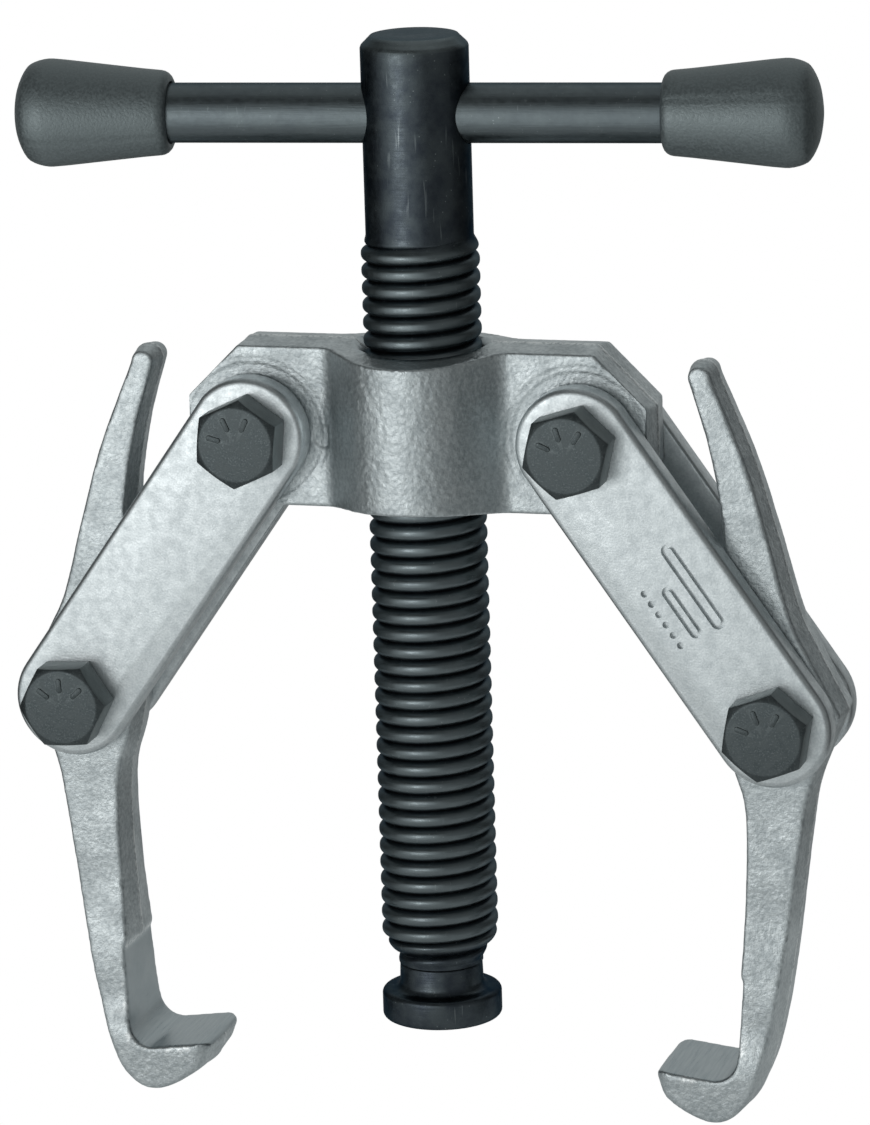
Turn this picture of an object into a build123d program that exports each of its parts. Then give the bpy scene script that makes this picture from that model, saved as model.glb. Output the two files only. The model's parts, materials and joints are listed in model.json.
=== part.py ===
from build123d import *
import math
import os

# Two-arm gear puller with a centre spindle.
#
# Origin: centre of the thrust pad's bottom face. +Z runs up the spindle axis, the arms spread along X,
# and the bolt heads face -Y, which is the front. All sizes are in millimetres, all angles in degrees.

# --- Driving dimensions -------------------------------------------------------------------------------

# Levels on the spindle axis
PIVOT_Z = 61.3              # height of the two upper pivots
BAR_Z = 93.4                # height of the T-bar's axis
SPINDLE_TOP_Z = 101.3
THREAD_TOP_Z = 81.0

# Yoke: a flat web with a round boss in the middle
PIVOT_X = 16.9              # upper pivots, each side of the axis
YOKE_HALF_LENGTH = 24.0
YOKE_RISE = 9.2             # top ridge above the pivots
YOKE_DROP = 7.9             # bottom ridge below the pivots
YOKE_DRAFT = 6.5            # slope of the top and bottom faces, down from the ridge
WEB_T = 7.0
TOP_CORNER = 6.0            # 45 degree cut at each upper corner
BOTTOM_CORNER = 5.0
BOSS_R = 9.7
BOSS_FOOT_X = 9.0           # where the boss's flank leaves the web's face
BOSS_FLANK = 48.0           # flank's angle from the web's face
BOSS_FOOT_FILLET = 2.0
BOSS_SHOULDER_FILLET = 7.5
BORE_CLEARANCE = 0.08       # radial, spindle thread in the yoke's bore

# Spindle
THREAD_R = 5.93
THREAD_PITCH = 1.75
THREAD_DEPTH = 1.0
CREST_WIDTH = 0.55          # flat of a crest, along the axis
ROOT_WIDTH = 0.2
THREAD_END_TAPER = 3.6      # length of the cone below the thread
HEAD_R = 5.4
HEAD_CHAMFER = 1.0
STUB_R = 2.5                # stub that turns in the thrust pad
STUB_GROOVE_DEPTH = 0.35

# Thrust pad and its snap ring
PAD_R = 6.1
PAD_T = 3.0
PAD_EDGE = 0.5
COLLAR_R = 4.3
COLLAR_H = 2.8
COLLAR_FILLET = 0.5
SOCKET_FLOOR = 1.1          # metal left under the stub
STUB_CLEARANCE = 0.06       # radial and axial, stub in its socket
RING_Z = 4.1                # height of the snap ring's middle
RING_T = 0.6
RING_BITE = 0.4             # how far the ring stands into the collar's wall

# T-bar and knobs
BAR_R = 3.0
BAR_SPAN = 81.2             # over both knobs
BAR_TURN = 6.0              # turn of the bar about the spindle axis at rest
BAR_HOLE_CLEARANCE = 0.08   # radial
KNOB_LENGTH = 15.9
KNOB_R = 5.5
KNOB_NECK_R = 4.2
KNOB_DOME = 1.1             # height of the domed outer end
KNOB_ROUND = 2.4            # length of the rounding from the widest place to the dome
KNOB_WALL = 3.2             # plastic between the bar's end and the knob's outer end
BAR_END_CHAMFER = 0.5

# Links
LINK_CENTRES = 34.0
LINK_ANGLE = 35.0           # from the vertical at rest
LINK_WIDTH = 12.0
LINK_T = 3.0
LINK_EDGE = 0.35
SIDE_PLAY = 0.1             # between a link and the web
PIVOT_CLEARANCE = 0.05      # radial, bolt in any of its holes

# Bolts, nuts and nut inserts
BOLT_R = 2.5
BOLT_LENGTH = 20.0
BOLT_END_CHAMFER = 0.5
HEX_FLATS = 8.0
HEX_FACE_R = 3.8            # round flat left by the 30 degree corner chamfer
HEX_CHAMFER_SLOPE = 30.0
BOLT_HEAD_H = 3.5
NUT_HEX_H = 3.7
NUT_H = 5.0
NUT_COLLAR_R = 3.6
NUT_COLLAR_CHAMFER = 0.4
INSERT_R = 3.1
INSERT_H = 0.9
INSERT_LIP = 0.2            # nut metal folded over the insert
HEX_TURNS = {("left", "upper"): 25.0, ("right", "upper"): 17.0,     # corner above +X, seen from the front
             ("left", "lower"): 3.0, ("right", "lower"): 20.0}

# Arms: each is drawn for the left side from its own pivot, with u towards the spindle and w up
ARM_RELIEF = 0.1            # how much thinner than the web an arm's eye is, each side
ARM_EYE_R = 6.6
TAIL_TIP_T = 5.0
FOOT_T = 11.4               # width of the hook
LEG_MIDDLE_T = 7.4
TAIL_REACH = 35.9           # tail tip above the pivot
TAIL_TIP_R = 1.5
TAIL_TIP_U = 7.6
HOOK_DROP = 41.9            # underside of the hook below the pivot
HOOK_REACH = 13.0           # hook tip from the pivot, towards the spindle
HOOK_FACE_W = -37.1         # gripping face
HOOK_TIP_RISE = 0.7
STEP_W = -26.6              # lower end of the forged inner face, where the machined face begins
STEP_DEPTH = 0.5
HOOK_CORNER_R = 2.4         # between the machined leg face and the gripping face
FOOT_CORNER_R = 2.0         # corners of the hook tip, seen from above
EYE_LEFT = (-ARM_EYE_R, 0.8)
EYE_RIGHT = (ARM_EYE_R - 0.3, 2.0)
TAIL_BACK = [(-3.6, 6.6), (-1.7, 10.6), (0.5, 18.6), (2.7, 26.0)]
TAIL_FRONT = [(6.9, 27.0), (5.6, 18.5), (5.9, 9.0)]
LEG_FRONT = [(5.2, -4.4), (3.9, -9.0), (3.8, -16.0)]
LEG_BACK = [(3.4, 2.0 - HOOK_DROP), (1.0, -33.4), (-0.9, -23.4), (-2.4, -12.8), (-3.6, -6.6)]
STEP_U = 4.3                # leg face on both sides of the step
STEP_RUN = 1.6              # height of the slope that sinks into the machined face
BELLY_U = 7.0               # lowest point of the hook
TOE_FLAT = 0.9              # gripping face ends this far from the tip
TOE_ROUND = 0.2
TOE_UNDER = (HOOK_REACH - 1.4, 2.2 - HOOK_DROP)

# --- Worked out from the above ------------------------------------------------------------------------

LINK_INNER_Y = WEB_T / 2 + SIDE_PLAY
LINK_OUTER_Y = LINK_INNER_Y + LINK_T
ARM_T = WEB_T - 2 * ARM_RELIEF
LINK_RUN = LINK_CENTRES * math.sin(math.radians(LINK_ANGLE))
LINK_FALL = LINK_CENTRES * math.cos(math.radians(LINK_ANGLE))
LOWER_PIVOT_X = PIVOT_X + LINK_RUN
LOWER_PIVOT_Z = PIVOT_Z - LINK_FALL
YOKE_TOP_Z = PIVOT_Z + YOKE_RISE
YOKE_BOTTOM_Z = PIVOT_Z - YOKE_DROP
COLLAR_TOP_Z = PAD_T + COLLAR_H
SHOULDER_Z = COLLAR_TOP_Z + STUB_CLEARANCE
SOCKET_R = STUB_R + STUB_CLEARANCE
PIVOT_HOLE_R = BOLT_R + PIVOT_CLEARANCE
HEX_CORNER_R = HEX_FLATS / math.sqrt(3)
SIDES = {"left": -1, "right": 1}
LEVELS = ("upper", "lower")
FAR = 200.0                 # longer than anything that is cut


def turned(points):
    """Solid of revolution about Z from a closed outline of (radius, height) points."""
    outline = Polyline([(r, 0, z) for r, z in points], close=True)
    return revolve(make_face(outline), axis=Axis.Z)


def swept_y(edges, half_width):
    """Solid from a closed outline in the XZ plane, spread both ways along Y."""
    return extrude(make_face(edges), amount=half_width, dir=(0, 1, 0), both=True)


def pin_hole(x, z):
    """Cutter for one pivot bore along Y."""
    return Pos(x, 0, z) * Rot(90, 0, 0) * Cylinder(PIVOT_HOLE_R, FAR)


def mirrored(piece, side):
    """The left-hand piece itself, or its mirror image for the right."""
    return piece if side == "left" else mirror(piece, about=Plane.YZ)


# --- Yoke ---------------------------------------------------------------------------------------------

def yoke_plan():
    """Web and boss seen from above."""
    web_half = WEB_T / 2
    flank_run = (BOSS_R - web_half) / math.tan(math.radians(BOSS_FLANK))
    crown_x = BOSS_FOOT_X - flank_run
    quarter = [(BOSS_FOOT_X, web_half), (crown_x, BOSS_R)]
    outline = quarter + [(-x, y) for x, y in reversed(quarter)]
    outline += [(-x, -y) for x, y in outline]
    boss = Circle(BOSS_R) & make_face(Polyline(outline, close=True))
    plan = Rectangle(2 * YOKE_HALF_LENGTH, WEB_T) + boss
    inner = [v for v in plan.vertices() if abs(v.X) < YOKE_HALF_LENGTH - 1]
    feet = [v for v in inner if abs(abs(v.Y) - web_half) < 0.01]
    plan = fillet(feet, BOSS_FOOT_FILLET)
    shoulders = [v for v in plan.vertices() if abs(v.Y) > BOSS_R * 0.8]
    return fillet(shoulders, BOSS_SHOULDER_FILLET)


def make_yoke():
    """Forged yoke: plan, front outline and drafted end view in one, then its three bores."""
    body = Pos(0, 0, YOKE_BOTTOM_Z) * extrude(yoke_plan(), YOKE_TOP_Z - YOKE_BOTTOM_Z)
    end = YOKE_HALF_LENGTH
    front = [(end, YOKE_BOTTOM_Z + BOTTOM_CORNER), (end, YOKE_TOP_Z - TOP_CORNER),
             (end - TOP_CORNER, YOKE_TOP_Z)]
    foot = (end - BOTTOM_CORNER, YOKE_BOTTOM_Z)
    right = [foot] + front
    outline = right + [(-x, z) for x, z in reversed(right)]
    body &= swept_y(Polyline([(x, 0, z) for x, z in outline], close=True), BOSS_R + 1)
    drop = (BOSS_R + 1) * math.tan(math.radians(YOKE_DRAFT))
    rim = BOSS_R + 1
    draft = [(0, YOKE_TOP_Z), (rim, YOKE_TOP_Z - drop), (rim, YOKE_BOTTOM_Z + drop),
             (0, YOKE_BOTTOM_Z), (-rim, YOKE_BOTTOM_Z + drop), (-rim, YOKE_TOP_Z - drop)]
    end_face = make_face(Polyline([(0, y, z) for y, z in draft], close=True))
    body &= extrude(end_face, amount=end + 1, dir=(1, 0, 0), both=True)
    body -= Cylinder(THREAD_R + BORE_CLEARANCE, FAR * 2)
    for sign in SIDES.values():
        body -= pin_hole(sign * PIVOT_X, PIVOT_Z)
    return body


# --- Spindle, thrust pad, T-bar -----------------------------------------------------------------------

def thread_profile(low_z, high_z):
    """(radius, height) points of the thread's ridges, from the bottom up."""
    flank = (THREAD_PITCH - CREST_WIDTH - ROOT_WIDTH) / 2
    root_r = THREAD_R - THREAD_DEPTH
    ridges = int((high_z - low_z) / THREAD_PITCH)
    points = []
    for i in range(ridges):
        z = high_z - (ridges - i) * THREAD_PITCH
        points += [(root_r, z + ROOT_WIDTH), (THREAD_R, z + ROOT_WIDTH + flank),
                   (THREAD_R, z + ROOT_WIDTH + flank + CREST_WIDTH), (root_r, z + THREAD_PITCH)]
    return points


def make_spindle():
    """Threaded spindle with its drilled head above and the grooved stub below."""
    stub_bottom = SOCKET_FLOOR + STUB_CLEARANCE
    groove_low = RING_Z - RING_T / 2 - STUB_CLEARANCE
    groove_high = RING_Z + RING_T / 2 + STUB_CLEARANCE
    groove_r = STUB_R - STUB_GROOVE_DEPTH
    taper_top = SHOULDER_Z + THREAD_END_TAPER
    points = [(0, stub_bottom), (STUB_R, stub_bottom), (STUB_R, groove_low), (groove_r, groove_low),
              (groove_r, groove_high), (STUB_R, groove_high), (STUB_R, SHOULDER_Z),
              (COLLAR_R, SHOULDER_Z), (THREAD_R - THREAD_DEPTH, taper_top - THREAD_DEPTH)]
    points += thread_profile(taper_top, THREAD_TOP_Z)
    points += [(HEAD_R, THREAD_TOP_Z), (HEAD_R, SPINDLE_TOP_Z - HEAD_CHAMFER),
               (HEAD_R - HEAD_CHAMFER, SPINDLE_TOP_Z), (0, SPINDLE_TOP_Z)]
    hole = Pos(0, 0, BAR_Z) * Rot(0, 0, BAR_TURN) * Rot(0, 90, 0)
    return turned(points) - hole * Cylinder(BAR_R + BAR_HOLE_CLEARANCE, FAR)


def make_thrust_pad():
    """Swivelling pad: a disc with a collar, and a blind socket for the spindle's stub."""
    groove_r = SOCKET_R + RING_BITE
    low = RING_Z - RING_T / 2
    high = RING_Z + RING_T / 2
    pad = Pos(0, 0, PAD_T / 2) * Cylinder(PAD_R, PAD_T)
    pad = fillet(pad.edges(), PAD_EDGE)
    pad += Pos(0, 0, COLLAR_TOP_Z / 2) * Cylinder(COLLAR_R, COLLAR_TOP_Z)
    root = [e for e in pad.edges() if abs(e.center().Z - PAD_T) < 0.01 and abs(e.radius - COLLAR_R) < 0.01]
    pad = fillet(root, COLLAR_FILLET)
    socket = [(0, SOCKET_FLOOR), (SOCKET_R, SOCKET_FLOOR), (SOCKET_R, low), (groove_r, low),
              (groove_r, high), (SOCKET_R, high), (SOCKET_R, COLLAR_TOP_Z + 1), (0, COLLAR_TOP_Z + 1)]
    return pad - turned(socket)


def make_snap_ring():
    """Ring seated in the collar's groove, standing into the stub's groove."""
    inner = STUB_R - STUB_GROOVE_DEPTH + STUB_CLEARANCE
    ring = Cylinder(SOCKET_R + RING_BITE, RING_T) - Cylinder(inner, RING_T)
    return Pos(0, 0, RING_Z) * ring


def make_tommy_bar():
    """Plain round bar that slides in the spindle's head."""
    length = BAR_SPAN - 2 * KNOB_WALL
    bar = Cylinder(BAR_R, length)
    bar = chamfer(bar.edges().filter_by(GeomType.CIRCLE), BAR_END_CHAMFER)
    return Pos(0, 0, BAR_Z) * Rot(0, 0, BAR_TURN) * Rot(0, 90, 0) * bar


def make_knob(sign):
    """Tapered knob with a domed outer end, pressed on one end of the bar."""
    widest = KNOB_LENGTH - KNOB_DOME - KNOB_ROUND
    crown_r = KNOB_R - KNOB_ROUND
    crown_z = widest + KNOB_ROUND
    dome_r = (crown_r ** 2 + KNOB_DOME ** 2) / (2 * KNOB_DOME)
    half = math.asin(crown_r / dome_r) / 2
    outline = [
        Polyline((0, 0, KNOB_LENGTH), (0, 0, 0), (KNOB_NECK_R - 0.4, 0, 0), (KNOB_NECK_R, 0, 0.5),
                 (KNOB_R, 0, widest)),
        ThreePointArc((KNOB_R, 0, widest), (KNOB_R - KNOB_ROUND * 0.3, 0, crown_z - KNOB_ROUND * 0.28),
                      (crown_r, 0, crown_z)),
        ThreePointArc((crown_r, 0, crown_z),
                      (dome_r * math.sin(half), 0, KNOB_LENGTH - dome_r * (1 - math.cos(half))),
                      (0, 0, KNOB_LENGTH)),
    ]
    knob = revolve(make_face(outline[0].edges() + outline[1:]), axis=Axis.Z)
    depth = KNOB_LENGTH - KNOB_WALL
    socket = Pos(0, 0, depth / 2) * Cylinder(BAR_R, depth)
    socket = chamfer(socket.edges().filter_by(GeomType.CIRCLE).sort_by(Axis.Z)[-1], BAR_END_CHAMFER)
    knob = Pos(0, 0, BAR_SPAN / 2 - KNOB_LENGTH) * (knob - socket)
    return Pos(0, 0, BAR_Z) * Rot(0, 0, BAR_TURN) * Rot(0, 90 * sign, 0) * knob


# --- Links --------------------------------------------------------------------------------------------

def link_plane(side, y):
    """Plane of one link: its X from the upper pivot to the lower, its normal along +Y."""
    sign = SIDES[side]
    middle = (sign * (PIVOT_X + LINK_RUN / 2), y, PIVOT_Z - LINK_FALL / 2)
    return Plane(origin=middle, x_dir=(sign * LINK_RUN, 0, -LINK_FALL), z_dir=(0, 1, 0))


def make_link(side, y):
    """Flat stamped link with rounded ends and two bores; y is its lower face."""
    blank = extrude(SlotCenterToCenter(LINK_CENTRES, LINK_WIDTH), LINK_T)
    rims = blank.faces().sort_by(Axis.Z)[0].edges() + blank.faces().sort_by(Axis.Z)[-1].edges()
    blank = fillet(rims, LINK_EDGE)
    for end in (-1, 1):
        blank -= Pos(end * LINK_CENTRES / 2, 0, 0) * Cylinder(PIVOT_HOLE_R, FAR)
    return link_plane(side, y) * blank


# --- Bolts and nuts -----------------------------------------------------------------------------------

def hex_prism(height, chamfer_low, chamfer_high):
    """Hexagon prism from z = 0 up, its corners cut by the round 30 degree chamfer at either end."""
    limit = Pos(0, 0, height / 2) * Cylinder(HEX_CORNER_R, height)
    radial = HEX_CORNER_R - HEX_FACE_R
    axial = radial * math.tan(math.radians(HEX_CHAMFER_SLOPE))
    circles = limit.edges().filter_by(GeomType.CIRCLE).sort_by(Axis.Z)
    rings = ([circles[0]] if chamfer_low else []) + ([circles[-1]] if chamfer_high else [])
    faces = limit.faces()
    for ring in rings:
        end = faces.filter_by(GeomType.PLANE).sort_by(Axis.Z)[0 if ring is circles[0] else -1]
        limit = chamfer(ring, radial, axial, reference=end)
        faces = limit.faces()
    return limit & extrude(RegularPolygon(HEX_CORNER_R, 6), height)


def fastener_plane(side, level, y):
    """Plane on one pivot with its normal along +Y, turned as that pivot's hexagons are."""
    sign = SIDES[side]
    x, z = (PIVOT_X, PIVOT_Z) if level == "upper" else (LOWER_PIVOT_X, LOWER_PIVOT_Z)
    turn = math.radians(HEX_TURNS[side, level])
    return Plane(origin=(sign * x, y, z), x_dir=(math.cos(turn), 0, math.sin(turn)), z_dir=(0, 1, 0))


def make_bolt(side, level):
    """Hexagon bolt, its head bearing on the front link."""
    head = Pos(0, 0, -BOLT_HEAD_H) * hex_prism(BOLT_HEAD_H, True, False)
    shank = Pos(0, 0, BOLT_LENGTH / 2) * Cylinder(BOLT_R, BOLT_LENGTH)
    tip = shank.edges().filter_by(GeomType.CIRCLE).sort_by(Axis.Z)[-1]
    shank = chamfer(tip, BOLT_END_CHAMFER)
    return fastener_plane(side, level, -LINK_OUTER_Y) * (head + shank)


def make_nut(side, level):
    """Self-locking hexagon nut on the rear link, with a round collar around its insert."""
    collar = Pos(0, 0, NUT_H / 2) * Cylinder(NUT_COLLAR_R, NUT_H)
    collar = chamfer(collar.edges().filter_by(GeomType.CIRCLE).sort_by(Axis.Z)[-1], NUT_COLLAR_CHAMFER)
    nut = hex_prism(NUT_HEX_H, True, True) + collar
    nut -= Cylinder(BOLT_R, FAR)
    nut -= Pos(0, 0, NUT_H - INSERT_LIP - INSERT_H / 2) * Cylinder(INSERT_R, INSERT_H)
    nut -= Pos(0, 0, NUT_H) * Cylinder(INSERT_R - INSERT_LIP, 2 * INSERT_LIP)
    return fastener_plane(side, level, LINK_OUTER_Y) * nut


def make_nut_insert(side, level):
    """Plastic locking ring held in the nut's collar."""
    ring = Cylinder(INSERT_R, INSERT_H) - Cylinder(BOLT_R, INSERT_H)
    middle = NUT_H - INSERT_LIP - INSERT_H / 2
    return fastener_plane(side, level, LINK_OUTER_Y) * (Pos(0, 0, middle) * ring)


# --- Arms ---------------------------------------------------------------------------------------------

def arm_side_outline():
    """Closed outline of the left arm in the XZ plane, from its own pivot: tail, leg and hook."""
    def at(u, w):
        return (u, 0, w)

    tail_left = at(TAIL_TIP_U - TAIL_TIP_R, TAIL_REACH - TAIL_TIP_R)
    tail_right = at(TAIL_TIP_U + TAIL_TIP_R, TAIL_REACH - TAIL_TIP_R)
    eye_left, eye_right = at(*EYE_LEFT), at(*EYE_RIGHT)
    tip_w = HOOK_FACE_W + HOOK_TIP_RISE
    toe_top = at(HOOK_REACH - TOE_FLAT, tip_w)
    toe_mid = at(HOOK_REACH - TOE_ROUND, tip_w - 0.25)
    toe = at(HOOK_REACH, tip_w - TOE_FLAT)
    belly = at(BELLY_U, -HOOK_DROP)
    bend = HOOK_CORNER_R * (1 - math.cos(math.radians(45)))
    corner_low = at(STEP_U + 0.1 + HOOK_CORNER_R, HOOK_FACE_W)
    corner_mid = at(STEP_U + 0.05 + bend, HOOK_FACE_W + bend)
    corner_high = at(STEP_U, HOOK_FACE_W + HOOK_CORNER_R)
    step_high = at(STEP_U, STEP_W)
    step_low = at(STEP_U - STEP_DEPTH, STEP_W - STEP_RUN)
    return [
        Spline(eye_left, *(at(*point) for point in TAIL_BACK), tail_left),
        ThreePointArc(tail_left, at(TAIL_TIP_U, TAIL_REACH), tail_right),
        Spline(tail_right, *(at(*point) for point in TAIL_FRONT), eye_right),
        Spline(eye_right, *(at(*point) for point in LEG_FRONT), step_high),
        Line(step_high, step_low),
        Line(step_low, corner_high),
        ThreePointArc(corner_high, corner_mid, corner_low),
        Line(corner_low, toe_top),
        ThreePointArc(toe_top, toe_mid, toe),
        Spline(toe, at(*TOE_UNDER), belly),
        Spline(belly, *(at(*point) for point in LEG_BACK), eye_left),
    ]


def arm_front_outline():
    """Closed outline of an arm seen from the spindle, in the YZ plane: narrow tail, wide foot."""
    profile = [(TAIL_TIP_T / 2, TAIL_REACH + 1), (ARM_T / 2, TAIL_REACH * 0.4), (ARM_T / 2, -9.0),
               (LEG_MIDDLE_T / 2, -18.0), (FOOT_T / 2 - 0.9, HOOK_FACE_W + 6.0),
               (FOOT_T / 2, HOOK_FACE_W), (FOOT_T / 2, -HOOK_DROP - 1)]
    return profile + [(-y, w) for y, w in reversed(profile)]


def make_arm():
    """Left arm in its place: side outline and front outline in one, its toe corners rounded, bored."""
    body = swept_y(arm_side_outline(), FOOT_T)
    front = make_face(Polyline([(0, y, w) for y, w in arm_front_outline()], close=True))
    body &= extrude(front, amount=FOOT_T * 2, dir=(1, 0, 0), both=True)
    reach = HOOK_REACH + 20
    plan = Pos((HOOK_REACH - reach / 2), 0) * RectangleRounded(reach, FOOT_T, FOOT_CORNER_R)
    body &= Pos(0, 0, -HOOK_DROP - 1) * extrude(plan, HOOK_DROP + TAIL_REACH + 2)
    body = Pos(-LOWER_PIVOT_X, 0, LOWER_PIVOT_Z) * body
    return body - pin_hole(-LOWER_PIVOT_X, LOWER_PIVOT_Z)


# --- Assembly -----------------------------------------------------------------------------------------

def all_pieces():
    """Every separate piece by its node name."""
    pieces = {
        "yoke": make_yoke(),
        "spindle": make_spindle(),
        "thrust_pad": make_thrust_pad(),
        "pad_snap_ring": make_snap_ring(),
        "tommy_bar": make_tommy_bar(),
        "left_knob": make_knob(-1),
        "right_knob": make_knob(1),
    }
    left_arm = make_arm()
    for side in SIDES:
        pieces[f"{side}_arm"] = mirrored(left_arm, side)
        pieces[f"{side}_front_link"] = make_link(side, -LINK_OUTER_Y)
        pieces[f"{side}_rear_link"] = make_link(side, LINK_INNER_Y)
        for level in LEVELS:
            pieces[f"{side}_{level}_bolt"] = make_bolt(side, level)
            pieces[f"{side}_{level}_nut"] = make_nut(side, level)
            pieces[f"{side}_{level}_nut_insert"] = make_nut_insert(side, level)
    return pieces


os.makedirs("parts", exist_ok=True)
for name, piece in all_pieces().items():
    piece.label = name
    export_step(piece, f"parts/{name}.step")
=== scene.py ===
"""Two-arm gear puller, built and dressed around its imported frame.

Each sub-assembly is a class that builds its meshes in millimetres, in the frame's own axes: +Z up the
spindle, the arms along X, the bolt heads towards -Y. A finished piece is scaled to metres, given its
finish and set riding on its body.
"""

import json
import logging
import math
from dataclasses import dataclass, field
from enum import Enum
from typing import Callable, Dict, List, Optional, Sequence, Tuple

import bmesh
import bpy
from mathutils import Matrix, Vector, noise

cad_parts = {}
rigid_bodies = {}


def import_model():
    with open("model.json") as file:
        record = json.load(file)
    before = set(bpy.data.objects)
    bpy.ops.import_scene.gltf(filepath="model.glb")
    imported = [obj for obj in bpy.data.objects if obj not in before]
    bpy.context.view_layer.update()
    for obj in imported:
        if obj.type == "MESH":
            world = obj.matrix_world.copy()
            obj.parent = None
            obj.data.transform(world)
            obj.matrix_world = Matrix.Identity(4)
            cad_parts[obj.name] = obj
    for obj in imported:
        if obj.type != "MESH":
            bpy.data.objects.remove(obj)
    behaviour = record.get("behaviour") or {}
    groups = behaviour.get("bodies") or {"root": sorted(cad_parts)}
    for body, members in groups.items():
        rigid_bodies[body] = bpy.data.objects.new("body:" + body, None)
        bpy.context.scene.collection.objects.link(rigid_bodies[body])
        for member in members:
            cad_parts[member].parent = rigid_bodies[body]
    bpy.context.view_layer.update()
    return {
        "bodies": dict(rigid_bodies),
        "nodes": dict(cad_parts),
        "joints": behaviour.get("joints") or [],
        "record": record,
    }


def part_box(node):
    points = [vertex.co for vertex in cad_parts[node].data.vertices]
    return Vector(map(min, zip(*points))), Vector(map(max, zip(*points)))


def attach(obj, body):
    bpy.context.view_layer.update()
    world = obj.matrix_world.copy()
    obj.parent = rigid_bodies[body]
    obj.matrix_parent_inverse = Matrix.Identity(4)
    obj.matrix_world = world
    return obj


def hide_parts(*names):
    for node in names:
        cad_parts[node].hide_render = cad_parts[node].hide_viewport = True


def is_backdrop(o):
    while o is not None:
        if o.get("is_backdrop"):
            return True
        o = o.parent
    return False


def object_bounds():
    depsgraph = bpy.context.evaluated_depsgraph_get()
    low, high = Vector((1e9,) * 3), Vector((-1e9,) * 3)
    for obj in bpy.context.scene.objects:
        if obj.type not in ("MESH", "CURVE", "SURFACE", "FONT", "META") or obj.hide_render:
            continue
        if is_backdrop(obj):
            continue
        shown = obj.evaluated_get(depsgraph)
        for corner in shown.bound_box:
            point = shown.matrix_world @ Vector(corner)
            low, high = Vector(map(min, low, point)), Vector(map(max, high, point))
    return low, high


LOG = logging.getLogger("gear_puller")

MM = 0.001
MERGE = 1e-4
FULL_TURN = 2 * math.pi
CUTTER = 20.0       # half length of a rod that drills right through
Point = Tuple[float, float]
Triple = Tuple[float, float, float]
Mesh = bmesh.types.BMesh
Vert = bmesh.types.BMVert
Edge = bmesh.types.BMEdge
Face = bmesh.types.BMFace
Obj = bpy.types.Object
Socket = bpy.types.NodeSocket
Material = bpy.types.Material


class Side(Enum):
    """The two sides of the puller, valued by the sign of X."""

    LEFT = -1
    RIGHT = 1

    @property
    def label(self) -> str:
        """Lower-case word used in piece names."""
        return self.name.lower()


class Level(Enum):
    """The two pivots of a link."""

    UPPER = "upper"
    LOWER = "lower"


# --- Places read from the frame -----------------------------------------------------------------------


def box_mm(node: str) -> Tuple[Vector, Vector]:
    """Lowest and highest corner of a CAD node.

    Args:
        node: name of the CAD node.

    Returns:
        The two corners in millimetres.
    """
    low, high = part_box(node)
    return low / MM, high / MM


@dataclass(frozen=True)
class Layout:
    """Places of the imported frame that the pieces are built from, in millimetres."""

    pivot_x: float
    pivot_z: float
    lower_x: float
    lower_z: float
    link_inner: float
    link_outer: float
    yoke_low: float
    yoke_high: float
    yoke_end: float
    boss_r: float
    spindle_top: float
    bar_z: float
    bar_turn: float
    bar_r: float
    bar_half: float
    pad_r: float
    pad_top: float
    floor: float

    @classmethod
    def from_frame(cls, frame: dict) -> "Layout":
        """Reads every place from the frame.


        Returns:
            The layout of this pack.
        """
        joints = {joint["name"]: joint for joint in frame["joints"]}
        upper = Vector(joints["right_link_swing"]["pos_m"]) / MM
        lower = Vector(joints["right_arm_swing"]["pos_m"]) / MM
        slide = joints["tommy_bar_slide"]["axis"]
        link_low, link_high = box_mm("right_rear_link")
        yoke_low, yoke_high = box_mm("yoke")
        bar_low, bar_high = box_mm("tommy_bar")
        pad_high = box_mm("thrust_pad")[1]
        turn = math.atan2(slide[1], slide[0])
        bar_r = (bar_high.z - bar_low.z) / 2
        reach = bar_high.x - bar_r * math.sin(turn)
        return cls(
            pivot_x=upper.x, pivot_z=upper.z, lower_x=lower.x, lower_z=lower.z,
            link_inner=link_low.y, link_outer=link_high.y,
            yoke_low=yoke_low.z, yoke_high=yoke_high.z, yoke_end=yoke_high.x, boss_r=yoke_high.y,
            spindle_top=box_mm("spindle")[1].z,
            bar_z=(bar_high.z + bar_low.z) / 2, bar_turn=turn, bar_r=bar_r,
            bar_half=reach / math.cos(turn), pad_r=pad_high.x, pad_top=pad_high.z,
            floor=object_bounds()[0].z / MM,
        )


# --- Mesh tools ---------------------------------------------------------------------------------------


def smooth_curve(points: Sequence[Point], steps: int) -> List[Point]:
    """Rounds a line through its points with a Catmull-Rom curve.

    Args:
        points: the points that the curve passes through.
        steps: how many pieces each run is divided into.

    Returns:
        The points of the rounded line, ends included.
    """
    first = (2 * points[0][0] - points[1][0], 2 * points[0][1] - points[1][1])
    last = (2 * points[-1][0] - points[-2][0], 2 * points[-1][1] - points[-2][1])
    full = [first, *points, last]
    line = []
    for a, b, c, d in zip(full, full[1:], full[2:], full[3:]):
        for step in range(steps):
            t = step / steps
            line.append(tuple(
                0.5 * (2 * b[k] + (c[k] - a[k]) * t + (2 * a[k] - 5 * b[k] + 4 * c[k] - d[k]) * t * t
                       + (3 * b[k] - a[k] - 3 * c[k] + d[k]) * t ** 3) for k in (0, 1)))
    line.append(tuple(points[-1]))
    return line


def arc(centre: Point, radius: float, start: float, end: float, steps: int) -> List[Point]:
    """Points on an arc, both ends included, with the angles in degrees."""
    angles = [math.radians(start + (end - start) * i / steps) for i in range(steps + 1)]
    return [(centre[0] + radius * math.cos(a), centre[1] + radius * math.sin(a)) for a in angles]


def smoothstep(low: float, high: float, value: float) -> float:
    """Smooth ramp from 0 at low to 1 at high."""
    t = min(1.0, max(0.0, (value - low) / (high - low)))
    return t * t * (3 - 2 * t)


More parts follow.
